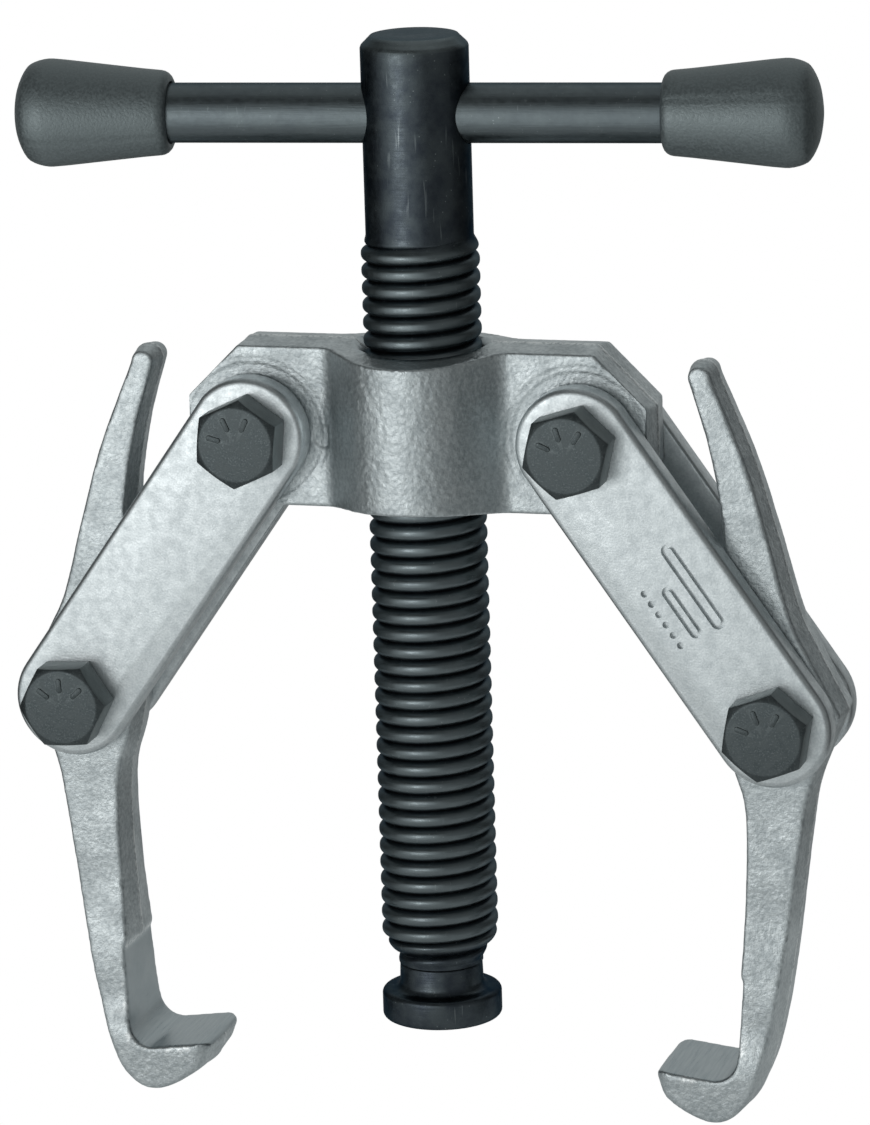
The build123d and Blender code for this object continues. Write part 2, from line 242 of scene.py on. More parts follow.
def only(geom: Sequence, kind: type) -> list:
    """The items of one kind among what a mesh operation gives back."""
    return [item for item in geom if isinstance(item, kind)]


def moved(bm: Mesh, matrix: Matrix) -> Mesh:
    """Moves a whole mesh and gives it back."""
    bmesh.ops.transform(bm, matrix=matrix, verts=bm.verts)
    return bm


def round_off(bm: Mesh, geom: list, radius: float, segments: int, clamp: bool = False) -> None:
    """Rounds the corners of a wire, or the edges of a solid."""
    bmesh.ops.bevel(bm, geom=geom, offset=radius, offset_type="OFFSET", segments=segments, profile=0.5,
                    affect="VERTICES" if isinstance(geom[0], Vert) else "EDGES", material=-1,
                    clamp_overlap=clamp)


def thicken(bm: Mesh, height: float) -> Mesh:
    """Raises the one flat face that a mesh holds into a closed solid."""
    made = bmesh.ops.extrude_face_region(bm, geom=bm.faces[:], use_keep_orig=True)["geom"]
    bmesh.ops.translate(bm, vec=(0, 0, height), verts=only(made, Vert))
    bmesh.ops.recalc_face_normals(bm, faces=bm.faces)
    return bm


def lathe(profile: Sequence[Triple], segments: int) -> Mesh:
    """Turns an outline about Z.

    Args:
        profile: (radius, height, corner rounding) of each point, from one end of the outline to the other.
        segments: steps in the full turn.

    Returns:
        The turned surface, closed where the outline starts and ends on the axis or on itself.
    """
    bm = bmesh.new()
    verts = [bm.verts.new((r, 0, z)) for r, z, _ in profile]
    closed = profile[0][0] > 0
    pairs = list(zip(verts, verts[1:])) + ([(verts[-1], verts[0])] if closed else [])
    for a, b in pairs:
        bm.edges.new((a, b))
    for vert, (_, _, rounding) in zip(verts, profile):
        if rounding:
            round_off(bm, [vert], rounding, 5)
    bmesh.ops.spin(bm, geom=bm.verts[:] + bm.edges[:], cent=(0, 0, 0), axis=(0, 0, 1), dvec=(0, 0, 0),
                   angle=FULL_TURN, steps=segments, use_merge=True, use_duplicate=False)
    bmesh.ops.remove_doubles(bm, verts=bm.verts, dist=MERGE)
    bmesh.ops.recalc_face_normals(bm, faces=bm.faces)
    return bm


def rod(radius: float, low: float, high: float, segments: int) -> Mesh:
    """Plain closed cylinder about Z, used as a cutter."""
    bm = bmesh.new()
    bmesh.ops.create_cone(bm, cap_ends=True, segments=segments, radius1=radius, radius2=radius,
                          depth=high - low)
    return moved(bm, Matrix.Translation((0, 0, (low + high) / 2)))


def pivot_cutter(radius: float, x: float, z: float) -> Mesh:
    """Rod along Y that drills a pivot."""
    turn = Matrix.Rotation(math.pi / 2, 4, "X")
    return moved(rod(radius, -CUTTER, CUTTER, 48), Matrix.Translation((x, 0, z)) @ turn)


def prism(outline: Sequence[Point], levels: Sequence[float]) -> Tuple[Mesh, List[list]]:
    """Extrudes an outline of (x, z) points along Y in steps.

    Args:
        outline: the closed outline.
        levels: the Y of each ring of vertices.

    Returns:
        The closed solid and its rings of vertices, one list for each level.
    """
    bm = bmesh.new()
    ring = [bm.verts.new((x, levels[0], z)) for x, z in outline]
    face = bm.faces.new(ring)
    rings = [ring]
    for index, level in enumerate(levels[1:]):
        made = bmesh.ops.extrude_face_region(bm, geom=[face], use_keep_orig=index == 0)["geom"]
        face = only(made, Face)[0]
        fresh = only(made, Vert)
        for vert in fresh:
            vert.co.y = level
        near = {(round(vert.co.x, 5), round(vert.co.z, 5)): vert for vert in fresh}
        rings.append([near[(round(vert.co.x, 5), round(vert.co.z, 5))] for vert in ring])
    bmesh.ops.recalc_face_normals(bm, faces=bm.faces)
    bm.normal_update()
    return bm, rings


def trim(bm: Mesh, point: Sequence[float], normal: Sequence[float]) -> None:
    """Cuts away what lies on the normal's side of a plane, and closes the cut."""
    cut = bmesh.ops.bisect_plane(bm, geom=bm.verts[:] + bm.edges[:] + bm.faces[:], plane_co=point,
                                 plane_no=normal, clear_outer=True, dist=MERGE)["geom_cut"]
    edges = only(cut, Edge)
    if edges:
        bmesh.ops.holes_fill(bm, edges=edges)


def score(bm: Mesh, point: Sequence[float], normal: Sequence[float]) -> None:
    """Adds edges where a plane crosses the mesh, without cutting it away."""
    bmesh.ops.bisect_plane(bm, geom=bm.verts[:] + bm.edges[:] + bm.faces[:], plane_co=point,
                           plane_no=normal, dist=MERGE)


def to_object(bm: Mesh, name: str) -> Obj:
    """Moves a mesh built in millimetres into a new object in metres, at the origin."""
    bmesh.ops.scale(bm, vec=(MM, MM, MM), verts=bm.verts)
    mesh = bpy.data.meshes.new(name)
    bm.to_mesh(mesh)
    bm.free()
    obj = bpy.data.objects.new(name, mesh)
    bpy.context.scene.collection.objects.link(obj)
    return obj


def bake_modifiers(obj: Obj) -> None:
    """Makes an object's modifiers part of its mesh."""
    bpy.context.view_layer.update()
    graph = bpy.context.evaluated_depsgraph_get()
    mesh = bpy.data.meshes.new_from_object(obj.evaluated_get(graph))
    old = obj.data
    obj.modifiers.clear()
    obj.data = mesh
    mesh.name = old.name
    bpy.data.meshes.remove(old)


def carve(obj: Obj, tool: Mesh, operation: str = "DIFFERENCE") -> None:
    """Cuts a tool mesh, in millimetres, out of an object, or joins it on.

    Args:
        obj: the object in metres.
        tool: the closed mesh to cut with; it is used up.
        operation: DIFFERENCE or UNION.
    """
    cutter = to_object(tool, "cutter")
    step = obj.modifiers.new("carve", "BOOLEAN")
    step.operation = operation
    step.solver = "MANIFOLD"
    step.object = cutter
    bake_modifiers(obj)
    mesh = cutter.data
    bpy.data.objects.remove(cutter)
    bpy.data.meshes.remove(mesh)


def shade(obj: Obj, sharp_angle: float) -> None:
    """Shades an object smooth, keeping edges sharper than an angle in degrees."""
    obj.data.shade_smooth()
    obj.data.set_sharp_from_angle(angle=math.radians(sharp_angle))


def paint(obj: Obj, name: str, value: Callable[[Vector, Vector], float]) -> None:
    """Stores a number on every vertex for the finish to read.

    Args:
        obj: the piece.
        name: the attribute's name.
        value: gives the number from a vertex's place in millimetres and its normal.
    """
    mesh = obj.data
    layer = mesh.attributes.new(name, "FLOAT", "POINT")
    layer.data.foreach_set("value", [value(vert.co / MM, vert.normal) for vert in mesh.vertices])


def remesh(obj: Obj, voxel: float, smoothing: int) -> None:
    """Rebuilds a solid as an even mesh and wears its edges round.

    Args:
        obj: the closed object.
        voxel: size of the new faces, in millimetres.
        smoothing: rounds of smoothing.
    """
    step = obj.modifiers.new("even mesh", "REMESH")
    step.mode = "VOXEL"
    step.voxel_size = voxel * MM
    step.adaptivity = 0
    bake_modifiers(obj)
    bm = bmesh.new()
    bm.from_mesh(obj.data)
    for _ in range(smoothing):
        bmesh.ops.smooth_vert(bm, verts=bm.verts, factor=0.5, use_axis_x=True, use_axis_y=True,
                              use_axis_z=True)
    bm.to_mesh(obj.data)
    bm.free()


def displace(obj: Obj, amount: Callable[[Vector, Vector], float]) -> None:
    """Moves every vertex along its normal.

    Args:
        obj: the piece.
        amount: gives the move in millimetres from a vertex's place in millimetres and its normal.
    """
    mesh = obj.data
    moves = [(vert.normal.copy(), amount(vert.co / MM, vert.normal)) for vert in mesh.vertices]
    for vert, (normal, move) in zip(mesh.vertices, moves):
        vert.co += normal * move * MM
    mesh.update()


def grain(place: Vector, size: float, seed: float = 0.0) -> float:
    """Smooth noise between about -1 and 1 with bumps of a given size in millimetres."""
    return noise.noise(place / size + Vector((seed, -seed, seed)))


def upright_to_bar(bm: Mesh, layout: Layout, sign: int = 1) -> None:
    """Lays a mesh built about Z along the T-bar's axis, its +Z towards one end of the bar."""
    turn = Matrix.Rotation(layout.bar_turn, 4, "Z") @ Matrix.Rotation(sign * math.pi / 2, 4, "Y")
    moved(bm, Matrix.Translation((0, 0, layout.bar_z)) @ turn)


# --- Finishes -----------------------------------------------------------------------------------------


class Nodes:
    """Short-hand for wiring one material's nodes."""

    def __init__(self, name: str) -> None:
        """Starts an empty material with a Principled shader.

        Args:
            name: the material's name.
        """
        self.material = bpy.data.materials.new(name)
        self.material.use_nodes = True
        self.tree = self.material.node_tree
        self.shader = self.tree.nodes["Principled BSDF"]
        self.coords = self.tree.nodes.new("ShaderNodeTexCoord").outputs["Object"]

    def add(self, kind: str, **settings: object) -> bpy.types.Node:
        """Adds a node and sets its properties."""
        node = self.tree.nodes.new(kind)
        for key, value in settings.items():
            setattr(node, key, value)
        return node

    def link(self, source: Socket, target: Socket) -> None:
        """Joins an output to an input."""
        self.tree.links.new(source, target)

    def feed(self, value: object, target: Socket) -> None:
        """Joins a socket to an input, or sets the input to a plain value."""
        if isinstance(value, Socket):
            self.link(value, target)
        else:
            target.default_value = value

    def scaled(self, scale: Sequence[float], turn: Sequence[float] = (0, 0, 0)) -> Socket:
        """Object coordinates, turned and stretched."""
        node = self.add("ShaderNodeMapping")
        node.inputs["Scale"].default_value = scale
        node.inputs["Rotation"].default_value = turn
        self.link(self.coords, node.inputs["Vector"])
        return node.outputs["Vector"]

    def noise(self, size: float, detail: float = 3.0, rough: float = 0.5,
              vector: Optional[Socket] = None) -> Socket:
        """Noise whose bumps are about size millimetres across."""
        node = self.add("ShaderNodeTexNoise")
        for key, value in (("Scale", 1 / (size * MM)), ("Detail", detail), ("Roughness", rough)):
            self.feed(value, node.inputs[key])
        self.link(vector or self.coords, node.inputs["Vector"])
        return node.outputs["Fac"]

    def dimples(self, size: float) -> Socket:
        """Distance to scattered points that are about size millimetres apart."""
        node = self.add("ShaderNodeTexVoronoi", feature="F1")
        node.inputs["Scale"].default_value = 1 / (size * MM)
        self.link(self.coords, node.inputs["Vector"])
        return node.outputs["Distance"]

    def remap(self, source: Socket, low: float, high: float, to_low: float = 0.0,
              to_high: float = 1.0) -> Socket:
        """Stretches a range of values onto another, clamped."""
        node = self.add("ShaderNodeMapRange")
        self.link(source, node.inputs["Value"])
        for key, value in (("From Min", low), ("From Max", high), ("To Min", to_low), ("To Max", to_high)):
            node.inputs[key].default_value = value
        return node.outputs["Result"]

    def maths(self, operation: str, a: Socket, b: object) -> Socket:
        """Arithmetic on a socket and a socket or number."""
        node = self.add("ShaderNodeMath", operation=operation)
        self.feed(a, node.inputs[0])
        self.feed(b, node.inputs[1])
        return node.outputs[0]

    def mix(self, fac: Socket, a: object, b: object) -> Socket:
        """Mixes two colours, each a socket or an RGB triple, by a factor."""
        node = self.add("ShaderNodeMix", data_type="RGBA")
        for key, value in (("Factor", fac), (6, a), (7, b)):
            self.feed(value if isinstance(value, Socket) else (*value, 1.0), node.inputs[key])
        return node.outputs[2]

    def blend(self, fac: Socket, a: object, b: object) -> Socket:
        """Mixes two numbers, each a socket or a plain number, by a factor."""
        node = self.add("ShaderNodeMix", data_type="FLOAT")
        for key, value in (("Factor", fac), (2, a), (3, b)):
            self.feed(value, node.inputs[key])
        return node.outputs[0]

    def painted(self, name: str) -> Socket:
        """A number stored on the vertices."""
        return self.add("ShaderNodeAttribute", attribute_name=name).outputs["Fac"]

    def bump(self, height: Socket, depth: float, below: Optional[Socket] = None) -> Socket:
        """Bump of a depth in millimetres, on top of another bump if one is given."""
        node = self.add("ShaderNodeBump")
        node.inputs["Strength"].default_value = 1.0
        node.inputs["Distance"].default_value = depth * MM
        self.link(height, node.inputs["Height"])
        if below is not None:
            self.link(below, node.inputs["Normal"])
        return node.outputs["Normal"]

    def finish(self, color: Socket, roughness: Socket, normal: Socket, metallic: float) -> Material:
        """Wires the shader and gives the material back."""
        for key, value in (("Base Color", color), ("Roughness", roughness), ("Normal", normal),
                           ("Metallic", metallic)):
            self.feed(value, self.shader.inputs[key])
        return self.material


@dataclass(frozen=True)
class ForgedZinc:
    """Zinc plate over a shot-blasted forging, ground bright where it was machined."""

    name: str = "forged_zinc"
    light: Triple = (0.66, 0.70, 0.71)
    dark: Triple = (0.46, 0.50, 0.515)
    machined: Triple = (0.36, 0.41, 0.43)
    # light colour of the parting line and of arm edges: partly burnished trim, partly painted highlight
    flash: Triple = (0.93, 0.95, 0.95)

    def build(self) -> Material:
        """Builds the material."""
        n = Nodes(self.name)
        clouds = n.remap(n.noise(3.2, 4.0, 0.6), 0.36, 0.64)
        pits = n.remap(n.noise(0.42, 2.0, 0.55), 0.38, 0.62)
        patches = n.blend(clouds, n.remap(pits, 0, 1, 0.0, 0.65), n.remap(pits, 0, 1, 0.3, 1.0))
        rough_cast = n.mix(patches, self.dark, self.light)
        machined = n.painted("machined")
        streaks = n.noise(0.32, 3.0, 0.6, n.scaled((1.0, 0.07, 0.07), (0.0, 0.6, 0.7)))
        ground = n.mix(n.remap(streaks, 0.35, 0.65, 0.0, 0.45), self.machined, self.light)
        color = n.mix(machined, rough_cast, ground)
        # lighter colour where marked as parting: partly burnished trim line, partly painted highlight on
        # lines and edges
        color = n.mix(n.maths("MULTIPLY", n.painted("parting"), n.remap(pits, 0.2, 0.6, 0.2, 1.0)),
                      color, self.flash)
        roughness = n.blend(machined, n.remap(clouds, 0, 1, 0.50, 0.40),
                            n.remap(streaks, 0.3, 0.7, 0.26, 0.38))
        blast = n.bump(n.noise(0.36, 2.0, 0.6), 0.055)
        blast = n.bump(n.dimples(0.8), 0.02, blast)
        brushed = n.bump(streaks, 0.012)
        normal = n.add("ShaderNodeMix", data_type="VECTOR")
        n.link(machined, normal.inputs["Factor"])
        n.link(blast, normal.inputs[4])
        n.link(brushed, normal.inputs[5])
        return n.finish(color, roughness, normal.outputs[1], 1.0)


@dataclass(frozen=True)
class LinkZinc:
    """Zinc plate over stamped strip, clouded and finely speckled."""

    name: str = "link_zinc"
    light: Triple = (0.70, 0.735, 0.745)
    dark: Triple = (0.55, 0.59, 0.605)

    def build(self) -> Material:
        """Builds the material."""
        n = Nodes(self.name)
        clouds = n.remap(n.noise(1.3, 5.0, 0.65), 0.38, 0.62)
        specks = n.remap(n.noise(0.22, 2.0, 0.5), 0.40, 0.60)
        patches = n.blend(clouds, n.remap(specks, 0, 1, 0.0, 0.5), n.remap(specks, 0, 1, 0.5, 1.0))
        color = n.mix(patches, self.dark, self.light)
        roughness = n.remap(clouds, 0, 1, 0.44, 0.36)
        normal = n.bump(n.noise(0.9, 4.0, 0.6), 0.018)
        normal = n.bump(n.noise(0.20, 2.0, 0.5), 0.014, normal)
        return n.finish(color, roughness, normal, 1.0)


@dataclass(frozen=True)
class BlackOxide:
    """Oiled black oxide on turned steel, with turning marks, dust and fine scratches."""

    name: str = "black_oxide"
    base: Triple = (0.095, 0.112, 0.122)
    deep: Triple = (0.055, 0.066, 0.080)
    # lighter tone: worn places, and on the thread crests partly a painted highlight
    rubbed: Triple = (0.26, 0.30, 0.31)
    dust: Triple = (0.40, 0.44, 0.45)
    edge: Triple = (0.30, 0.33, 0.36)
    grain_depth: float = 0.012
    roughness: float = 0.34

    def build(self) -> Material:
        """Builds the material."""
        n = Nodes(self.name)
        clouds = n.remap(n.noise(2.2, 4.0, 0.6), 0.35, 0.65)
        color = n.mix(clouds, self.deep, self.base)
        specks = n.maths("MULTIPLY", n.remap(n.dimples(0.6), 0.13, 0.06),
                         n.remap(n.noise(2.2, 2.0), 0.50, 0.60, 0.0, 0.7))
        scratch_field = n.noise(0.35, 1.0, 0.4, n.scaled((1.0, 1.0, 0.06), (0.5, 0.35, 0.0)))
        scratches = n.maths("MULTIPLY", n.remap(scratch_field, 0.70, 0.74, 0.0, 0.28),
                            n.remap(n.noise(5.0, 1.0), 0.5, 0.6))
        # lighter where marked: thread crests partly worn and partly painted highlight; the head's turned
        # end and the bar, worn tone
        color = n.mix(n.painted("polish"), color, self.rubbed)
        color = n.mix(n.maths("MAXIMUM", specks, scratches), color, self.dust)
        roughness = n.remap(n.noise(0.7, 4.0, 0.6), 0.35, 0.65,
                            self.roughness - 0.05, self.roughness + 0.08)
        turning = n.noise(0.3, 1.0, 0.5, n.scaled((0.08, 0.08, 1.6)))
        normal = n.bump(turning, self.grain_depth)
        normal = n.bump(n.noise(0.45, 3.0, 0.6), self.grain_depth, normal)
        n.shader.inputs["Specular Tint"].default_value = (*self.edge, 1.0)
        return n.finish(color, roughness, normal, 1.0)


@dataclass(frozen=True)
class BoltPhosphate:
    """Dark grey phosphate on cold-headed steel."""

    name: str = "bolt_phosphate"
    base: Triple = (0.080, 0.094, 0.098)
    worn: Triple = (0.16, 0.18, 0.185)
    # lighter tone painted on the sides of heads and nuts, as painted light
    rubbed: Triple = (0.30, 0.335, 0.34)

    def build(self) -> Material:
        """Builds the material."""
        n = Nodes(self.name)
        clouds = n.remap(n.noise(1.1, 5.0, 0.62), 0.38, 0.64)
        specks = n.remap(n.noise(0.18, 2.0, 0.5), 0.52, 0.66, 0.0, 0.7)
        color = n.mix(n.maths("MAXIMUM", n.maths("MULTIPLY", clouds, 0.45), specks), self.base, self.worn)
        # painted light: the sides of heads and nuts are painted lighter where the lamps leave them dark
        flank_light = n.maths("MULTIPLY", n.painted("flank"), n.remap(clouds, 0, 1, 0.65, 1.0))
        color = n.mix(flank_light, color, self.rubbed)
        roughness = n.remap(clouds, 0, 1, 0.42, 0.54)
        normal = n.bump(n.noise(0.25, 3.0, 0.6), 0.02)
        return n.finish(color, roughness, normal, 1.0)


@dataclass(frozen=True)
class KnobPlastic:
    """Black moulded plastic with an even spark-eroded grain."""

    name: str = "knob_plastic"
    base: Triple = (0.040, 0.047, 0.050)
    crest: Triple = (0.085, 0.098, 0.102)
    sheen: Triple = (0.86, 0.98, 1.0)

    def build(self) -> Material:
        """Builds the material."""
        n = Nodes(self.name)
        pebbles = n.noise(0.28, 2.5, 0.6)
        color = n.mix(n.remap(pebbles, 0.42, 0.6), self.base, self.crest)
        roughness = n.remap(pebbles, 0.35, 0.65, 0.42, 0.56)
        normal = n.bump(pebbles, 0.05)
        material = n.finish(color, roughness, normal, 0.0)
        n.shader.inputs["IOR"].default_value = 2.6
        n.shader.inputs["Specular Tint"].default_value = (*self.sheen, 1.0)
        return material


@dataclass(frozen=True)
class Nylon:
    """Natural nylon of the nut inserts."""

    name: str = "insert_nylon"
    base: Triple = (0.62, 0.66, 0.68)
    shadow: Triple = (0.52, 0.56, 0.58)

    def build(self) -> Material:
        """Builds the material."""
        n = Nodes(self.name)
        cloud = n.noise(0.8, 3.0)
        color = n.mix(cloud, self.shadow, self.base)
        material = n.finish(color, n.remap(cloud, 0.3, 0.7, 0.4, 0.5), n.bump(cloud, 0.01), 0.0)
        n.shader.inputs["Subsurface Weight"].default_value = 0.2
        n.shader.inputs["Subsurface Scale"].default_value = 0.0005
        return material


@dataclass(frozen=True)
class SpringSteel:
    """Oiled spring steel of the snap ring."""

    name: str = "spring_steel"
    base: Triple = (0.30, 0.31, 0.32)
    dark: Triple = (0.22, 0.23, 0.24)

    def build(self) -> Material:
        """Builds the material."""
        n = Nodes(self.name)
        cloud = n.noise(0.6, 3.0)
        color = n.mix(cloud, self.dark, self.base)
        return n.finish(color, n.remap(cloud, 0.3, 0.7, 0.3, 0.4), n.bump(cloud, 0.005), 1.0)


class Finishes:
    """Every finish, built once."""

    def __init__(self) -> None:
        """Builds the materials by their slot names."""
        kinds = (ForgedZinc(), LinkZinc(), BlackOxide(), BoltPhosphate(), KnobPlastic(), Nylon(),
                 SpringSteel())
        self.by_slot: Dict[str, Material] = {kind.name: kind.build() for kind in kinds}

    def dress(self, obj: Obj, slot: str) -> None:
        """Gives a piece one finish and names its slot."""
        obj.data.materials.clear()
        obj.data.materials.append(self.by_slot[slot])


def place(obj: Obj, finishes: Finishes, slot: str, body: str, *nodes: str) -> None:
    """Dresses a piece, sets it riding on its body and hides what it stands for.

    Args:
        obj: the finished piece.
        finishes: the built materials.
        slot: which finish it takes.
        body: the CAD body that it rides on.
        nodes: the CAD nodes that it replaces.
    """
    finishes.dress(obj, slot)
    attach(obj, body)
    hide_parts(*nodes)
    LOG.info("%s: %d faces, on %s", obj.name, len(obj.data.polygons), body)


# --- Spindle, thrust pad and T-bar --------------------------------------------------------------------


@dataclass
class Spindle:
    """Threaded spindle with its drilled head and the stub that turns in the thrust pad."""

    layout: Layout
    thread_r: float = 5.93
    pitch: float = 1.75
    depth: float = 0.74
    crest_power: float = 2.8
    rows: int = 12
    segments: int = 80
    thread_top: float = 81.4
    run_out: float = 1.7
    head_r: float = 5.4
    chamfer: float = 1.0
    turned_rings: int = 3
    collar_r: float = 4.3
    taper: float = 3.6
    stub_r: float = 2.5
    stub_low: float = 1.16
    hole_clearance: float = 0.08
    head_stations: Tuple[float, ...] = (84.0, 86.5, 89.0, 91.5, 94.0, 96.5, 99.0)

    def ridge(self, phase: float) -> float:
        """Radius of the thread at a phase between one valley and the next."""
        return self.thread_r - self.depth * abs(2 * phase - 1) ** self.crest_power

    def envelope(self, radius: float, z: float, shoulder: float) -> float:
        """Runs the thread out into the head above and the taper below."""
        fade = smoothstep(self.thread_top, self.thread_top - self.run_out, z)
        radius = self.head_r + (radius - self.head_r) * fade
        run = smoothstep(0.0, 1.0, (z - shoulder) / self.taper)
        return max(radius - (self.thread_r - self.collar_r) * (1 - run), self.collar_r - self.depth * run)

    def grow(self, bm: Mesh, edges: list, radius: float, z: float) -> list:
        """Extrudes a rim to a new radius and height, and gives the new rim."""
        made = bmesh.ops.extrude_edge_only(bm, edges=edges)["geom"]
        for vert in only(made, Vert):
            flat = vert.co.xy.normalized() * radius
            vert.co = (flat.x, flat.y, z)
        return only(made, Edge)

    def close(self, bm: Mesh, edges: list) -> None:
        """Closes a rim with a fan about the axis."""
        verts = list({vert for edge in edges for vert in edge.verts})
        face = bmesh.ops.contextual_create(bm, geom=edges)["faces"]
        centre = bmesh.ops.poke(bm, faces=face)["verts"][0]
        centre.co.z = verts[0].co.z

    def open_rim(self, bm: Mesh, z: float) -> list:
        """The boundary edges at a height."""
        return [edge for edge in bm.edges if edge.is_boundary
                and all(abs(vert.co.z - z) < 1e-3 for vert in edge.verts)]

    def thread(self, low: float, high: float) -> Mesh:
        """One helical surface: a line of ridges spun a full turn while it climbs one pitch."""
        bm = bmesh.new()
        turns = int((high - low) / self.pitch) + 4
        start = low - 2 * self.pitch
        line = [bm.verts.new((self.ridge((i % self.rows) / self.rows), 0,
                              start + i * self.pitch / self.rows)) for i in range(turns * self.rows + 1)]
        for a, b in zip(line, line[1:]):
            bm.edges.new((a, b))
        bmesh.ops.spin(bm, geom=bm.verts[:] + bm.edges[:], cent=(0, 0, 0), axis=(0, 0, 1),
                       dvec=(0, 0, self.pitch / self.segments), angle=FULL_TURN, steps=self.segments,
                       use_merge=False, use_duplicate=False)
        bmesh.ops.remove_doubles(bm, verts=bm.verts, dist=1e-3)
        return bm

    def mesh(self) -> Mesh:
        """The whole spindle without its cross hole."""
        shoulder = self.layout.pad_top + 0.06
        top_cut = self.thread_top + 1.0
        bm = self.thread(shoulder, top_cut)
        for z, way in ((shoulder, -1), (top_cut, 1)):
            bmesh.ops.bisect_plane(bm, geom=bm.verts[:] + bm.edges[:] + bm.faces[:], plane_co=(0, 0, z),
                                   plane_no=(0, 0, way), clear_outer=True, dist=MERGE)
        for vert in bm.verts:
            radius = vert.co.xy.length
            factor = self.envelope(radius, vert.co.z, shoulder) / radius
            vert.co.x *= factor
            vert.co.y *= factor
        rim = self.open_rim(bm, top_cut)
        top = self.layout.spindle_top
        edge_z = top - self.chamfer
        for z in (*self.head_stations, edge_z - 0.25):
            rim = self.grow(bm, rim, self.head_r, z)
        step = self.chamfer / self.turned_rings
        for index in range(self.turned_rings):
            inset = self.head_r - step * (index + 1)
            rim = self.grow(bm, rim, self.head_r - step * index - 0.10, edge_z + step * index + 0.02)
            rim = self.grow(bm, rim, inset - 0.02, edge_z + step * (index + 0.86))
        flat_r = self.head_r - self.chamfer - 0.12
        for radius, z in ((flat_r, top - 0.03), (flat_r * 0.97, top), (flat_r * 0.6, top - 0.02),
                          (flat_r * 0.3, top - 0.05), (flat_r * 0.1, top - 0.09)):
            rim = self.grow(bm, rim, radius, z)
        self.close(bm, rim)
        rim = self.open_rim(bm, shoulder)
        for radius, z in ((self.stub_r, shoulder), (self.stub_r, self.stub_low + 0.3),
                          (self.stub_r - 0.3, self.stub_low)):
            rim = self.grow(bm, rim, radius, z)
        self.close(bm, rim)
        bmesh.ops.recalc_face_normals(bm, faces=bm.faces)
        return bm

    def polish(self, place_mm: Vector, normal: Vector) -> float:
        """How much lighter a place is painted: the thread's crests, partly worn and partly painted
        highlight, and the worn turned end of the head.
        """
        crest = smoothstep(self.thread_r - self.depth, self.thread_r, place_mm.xy.length)
        threaded = smoothstep(self.thread_top, self.thread_top - self.run_out, place_mm.z)
        end = smoothstep(-0.4, 0.1, place_mm.z - self.layout.spindle_top + self.chamfer)
        return max(0.6 * crest * threaded, 0.7 * end)

    def build(self, finishes: Finishes) -> Obj:
        """Makes the spindle and drills its head for the T-bar."""
        spindle = to_object(self.mesh(), "spindle_turned")
        drill = rod(self.layout.bar_r + self.hole_clearance, -3 * self.head_r, 3 * self.head_r, 64)
        upright_to_bar(drill, self.layout)
        carve(spindle, drill)
        shade(spindle, 38)
        # thread crests painted lighter, partly as a painted highlight
        paint(spindle, "polish", self.polish)
        place(spindle, finishes, "black_oxide", "spindle", "spindle")
        return spindle


@dataclass
class ThrustPad:
    """Swivelling pad: a disc with a collar, hollow for the spindle's stub."""

    layout: Layout
    disc_t: float = 3.0
    collar_r: float = 4.3
    socket_r: float = 2.56
    socket_floor: float = 1.1

    def build(self, finishes: Finishes) -> Obj:
        """Turns the pad."""
        r = self.layout.pad_r
        profile = [(0, 0, 0), (r, 0, 0.55), (r, self.disc_t, 0.5), (self.collar_r, self.disc_t + 0.1, 0.7),
                   (self.collar_r - 0.1, self.layout.pad_top, 0.25),
                   (self.socket_r, self.layout.pad_top, 0.15),
                   (self.socket_r, self.socket_floor, 0), (0, self.socket_floor, 0)]
        pad = to_object(lathe(profile, 96), "thrust_pad_turned")
        shade(pad, 50)
        place(pad, finishes, "black_oxide", "thrust_pad", "thrust_pad")
        return pad


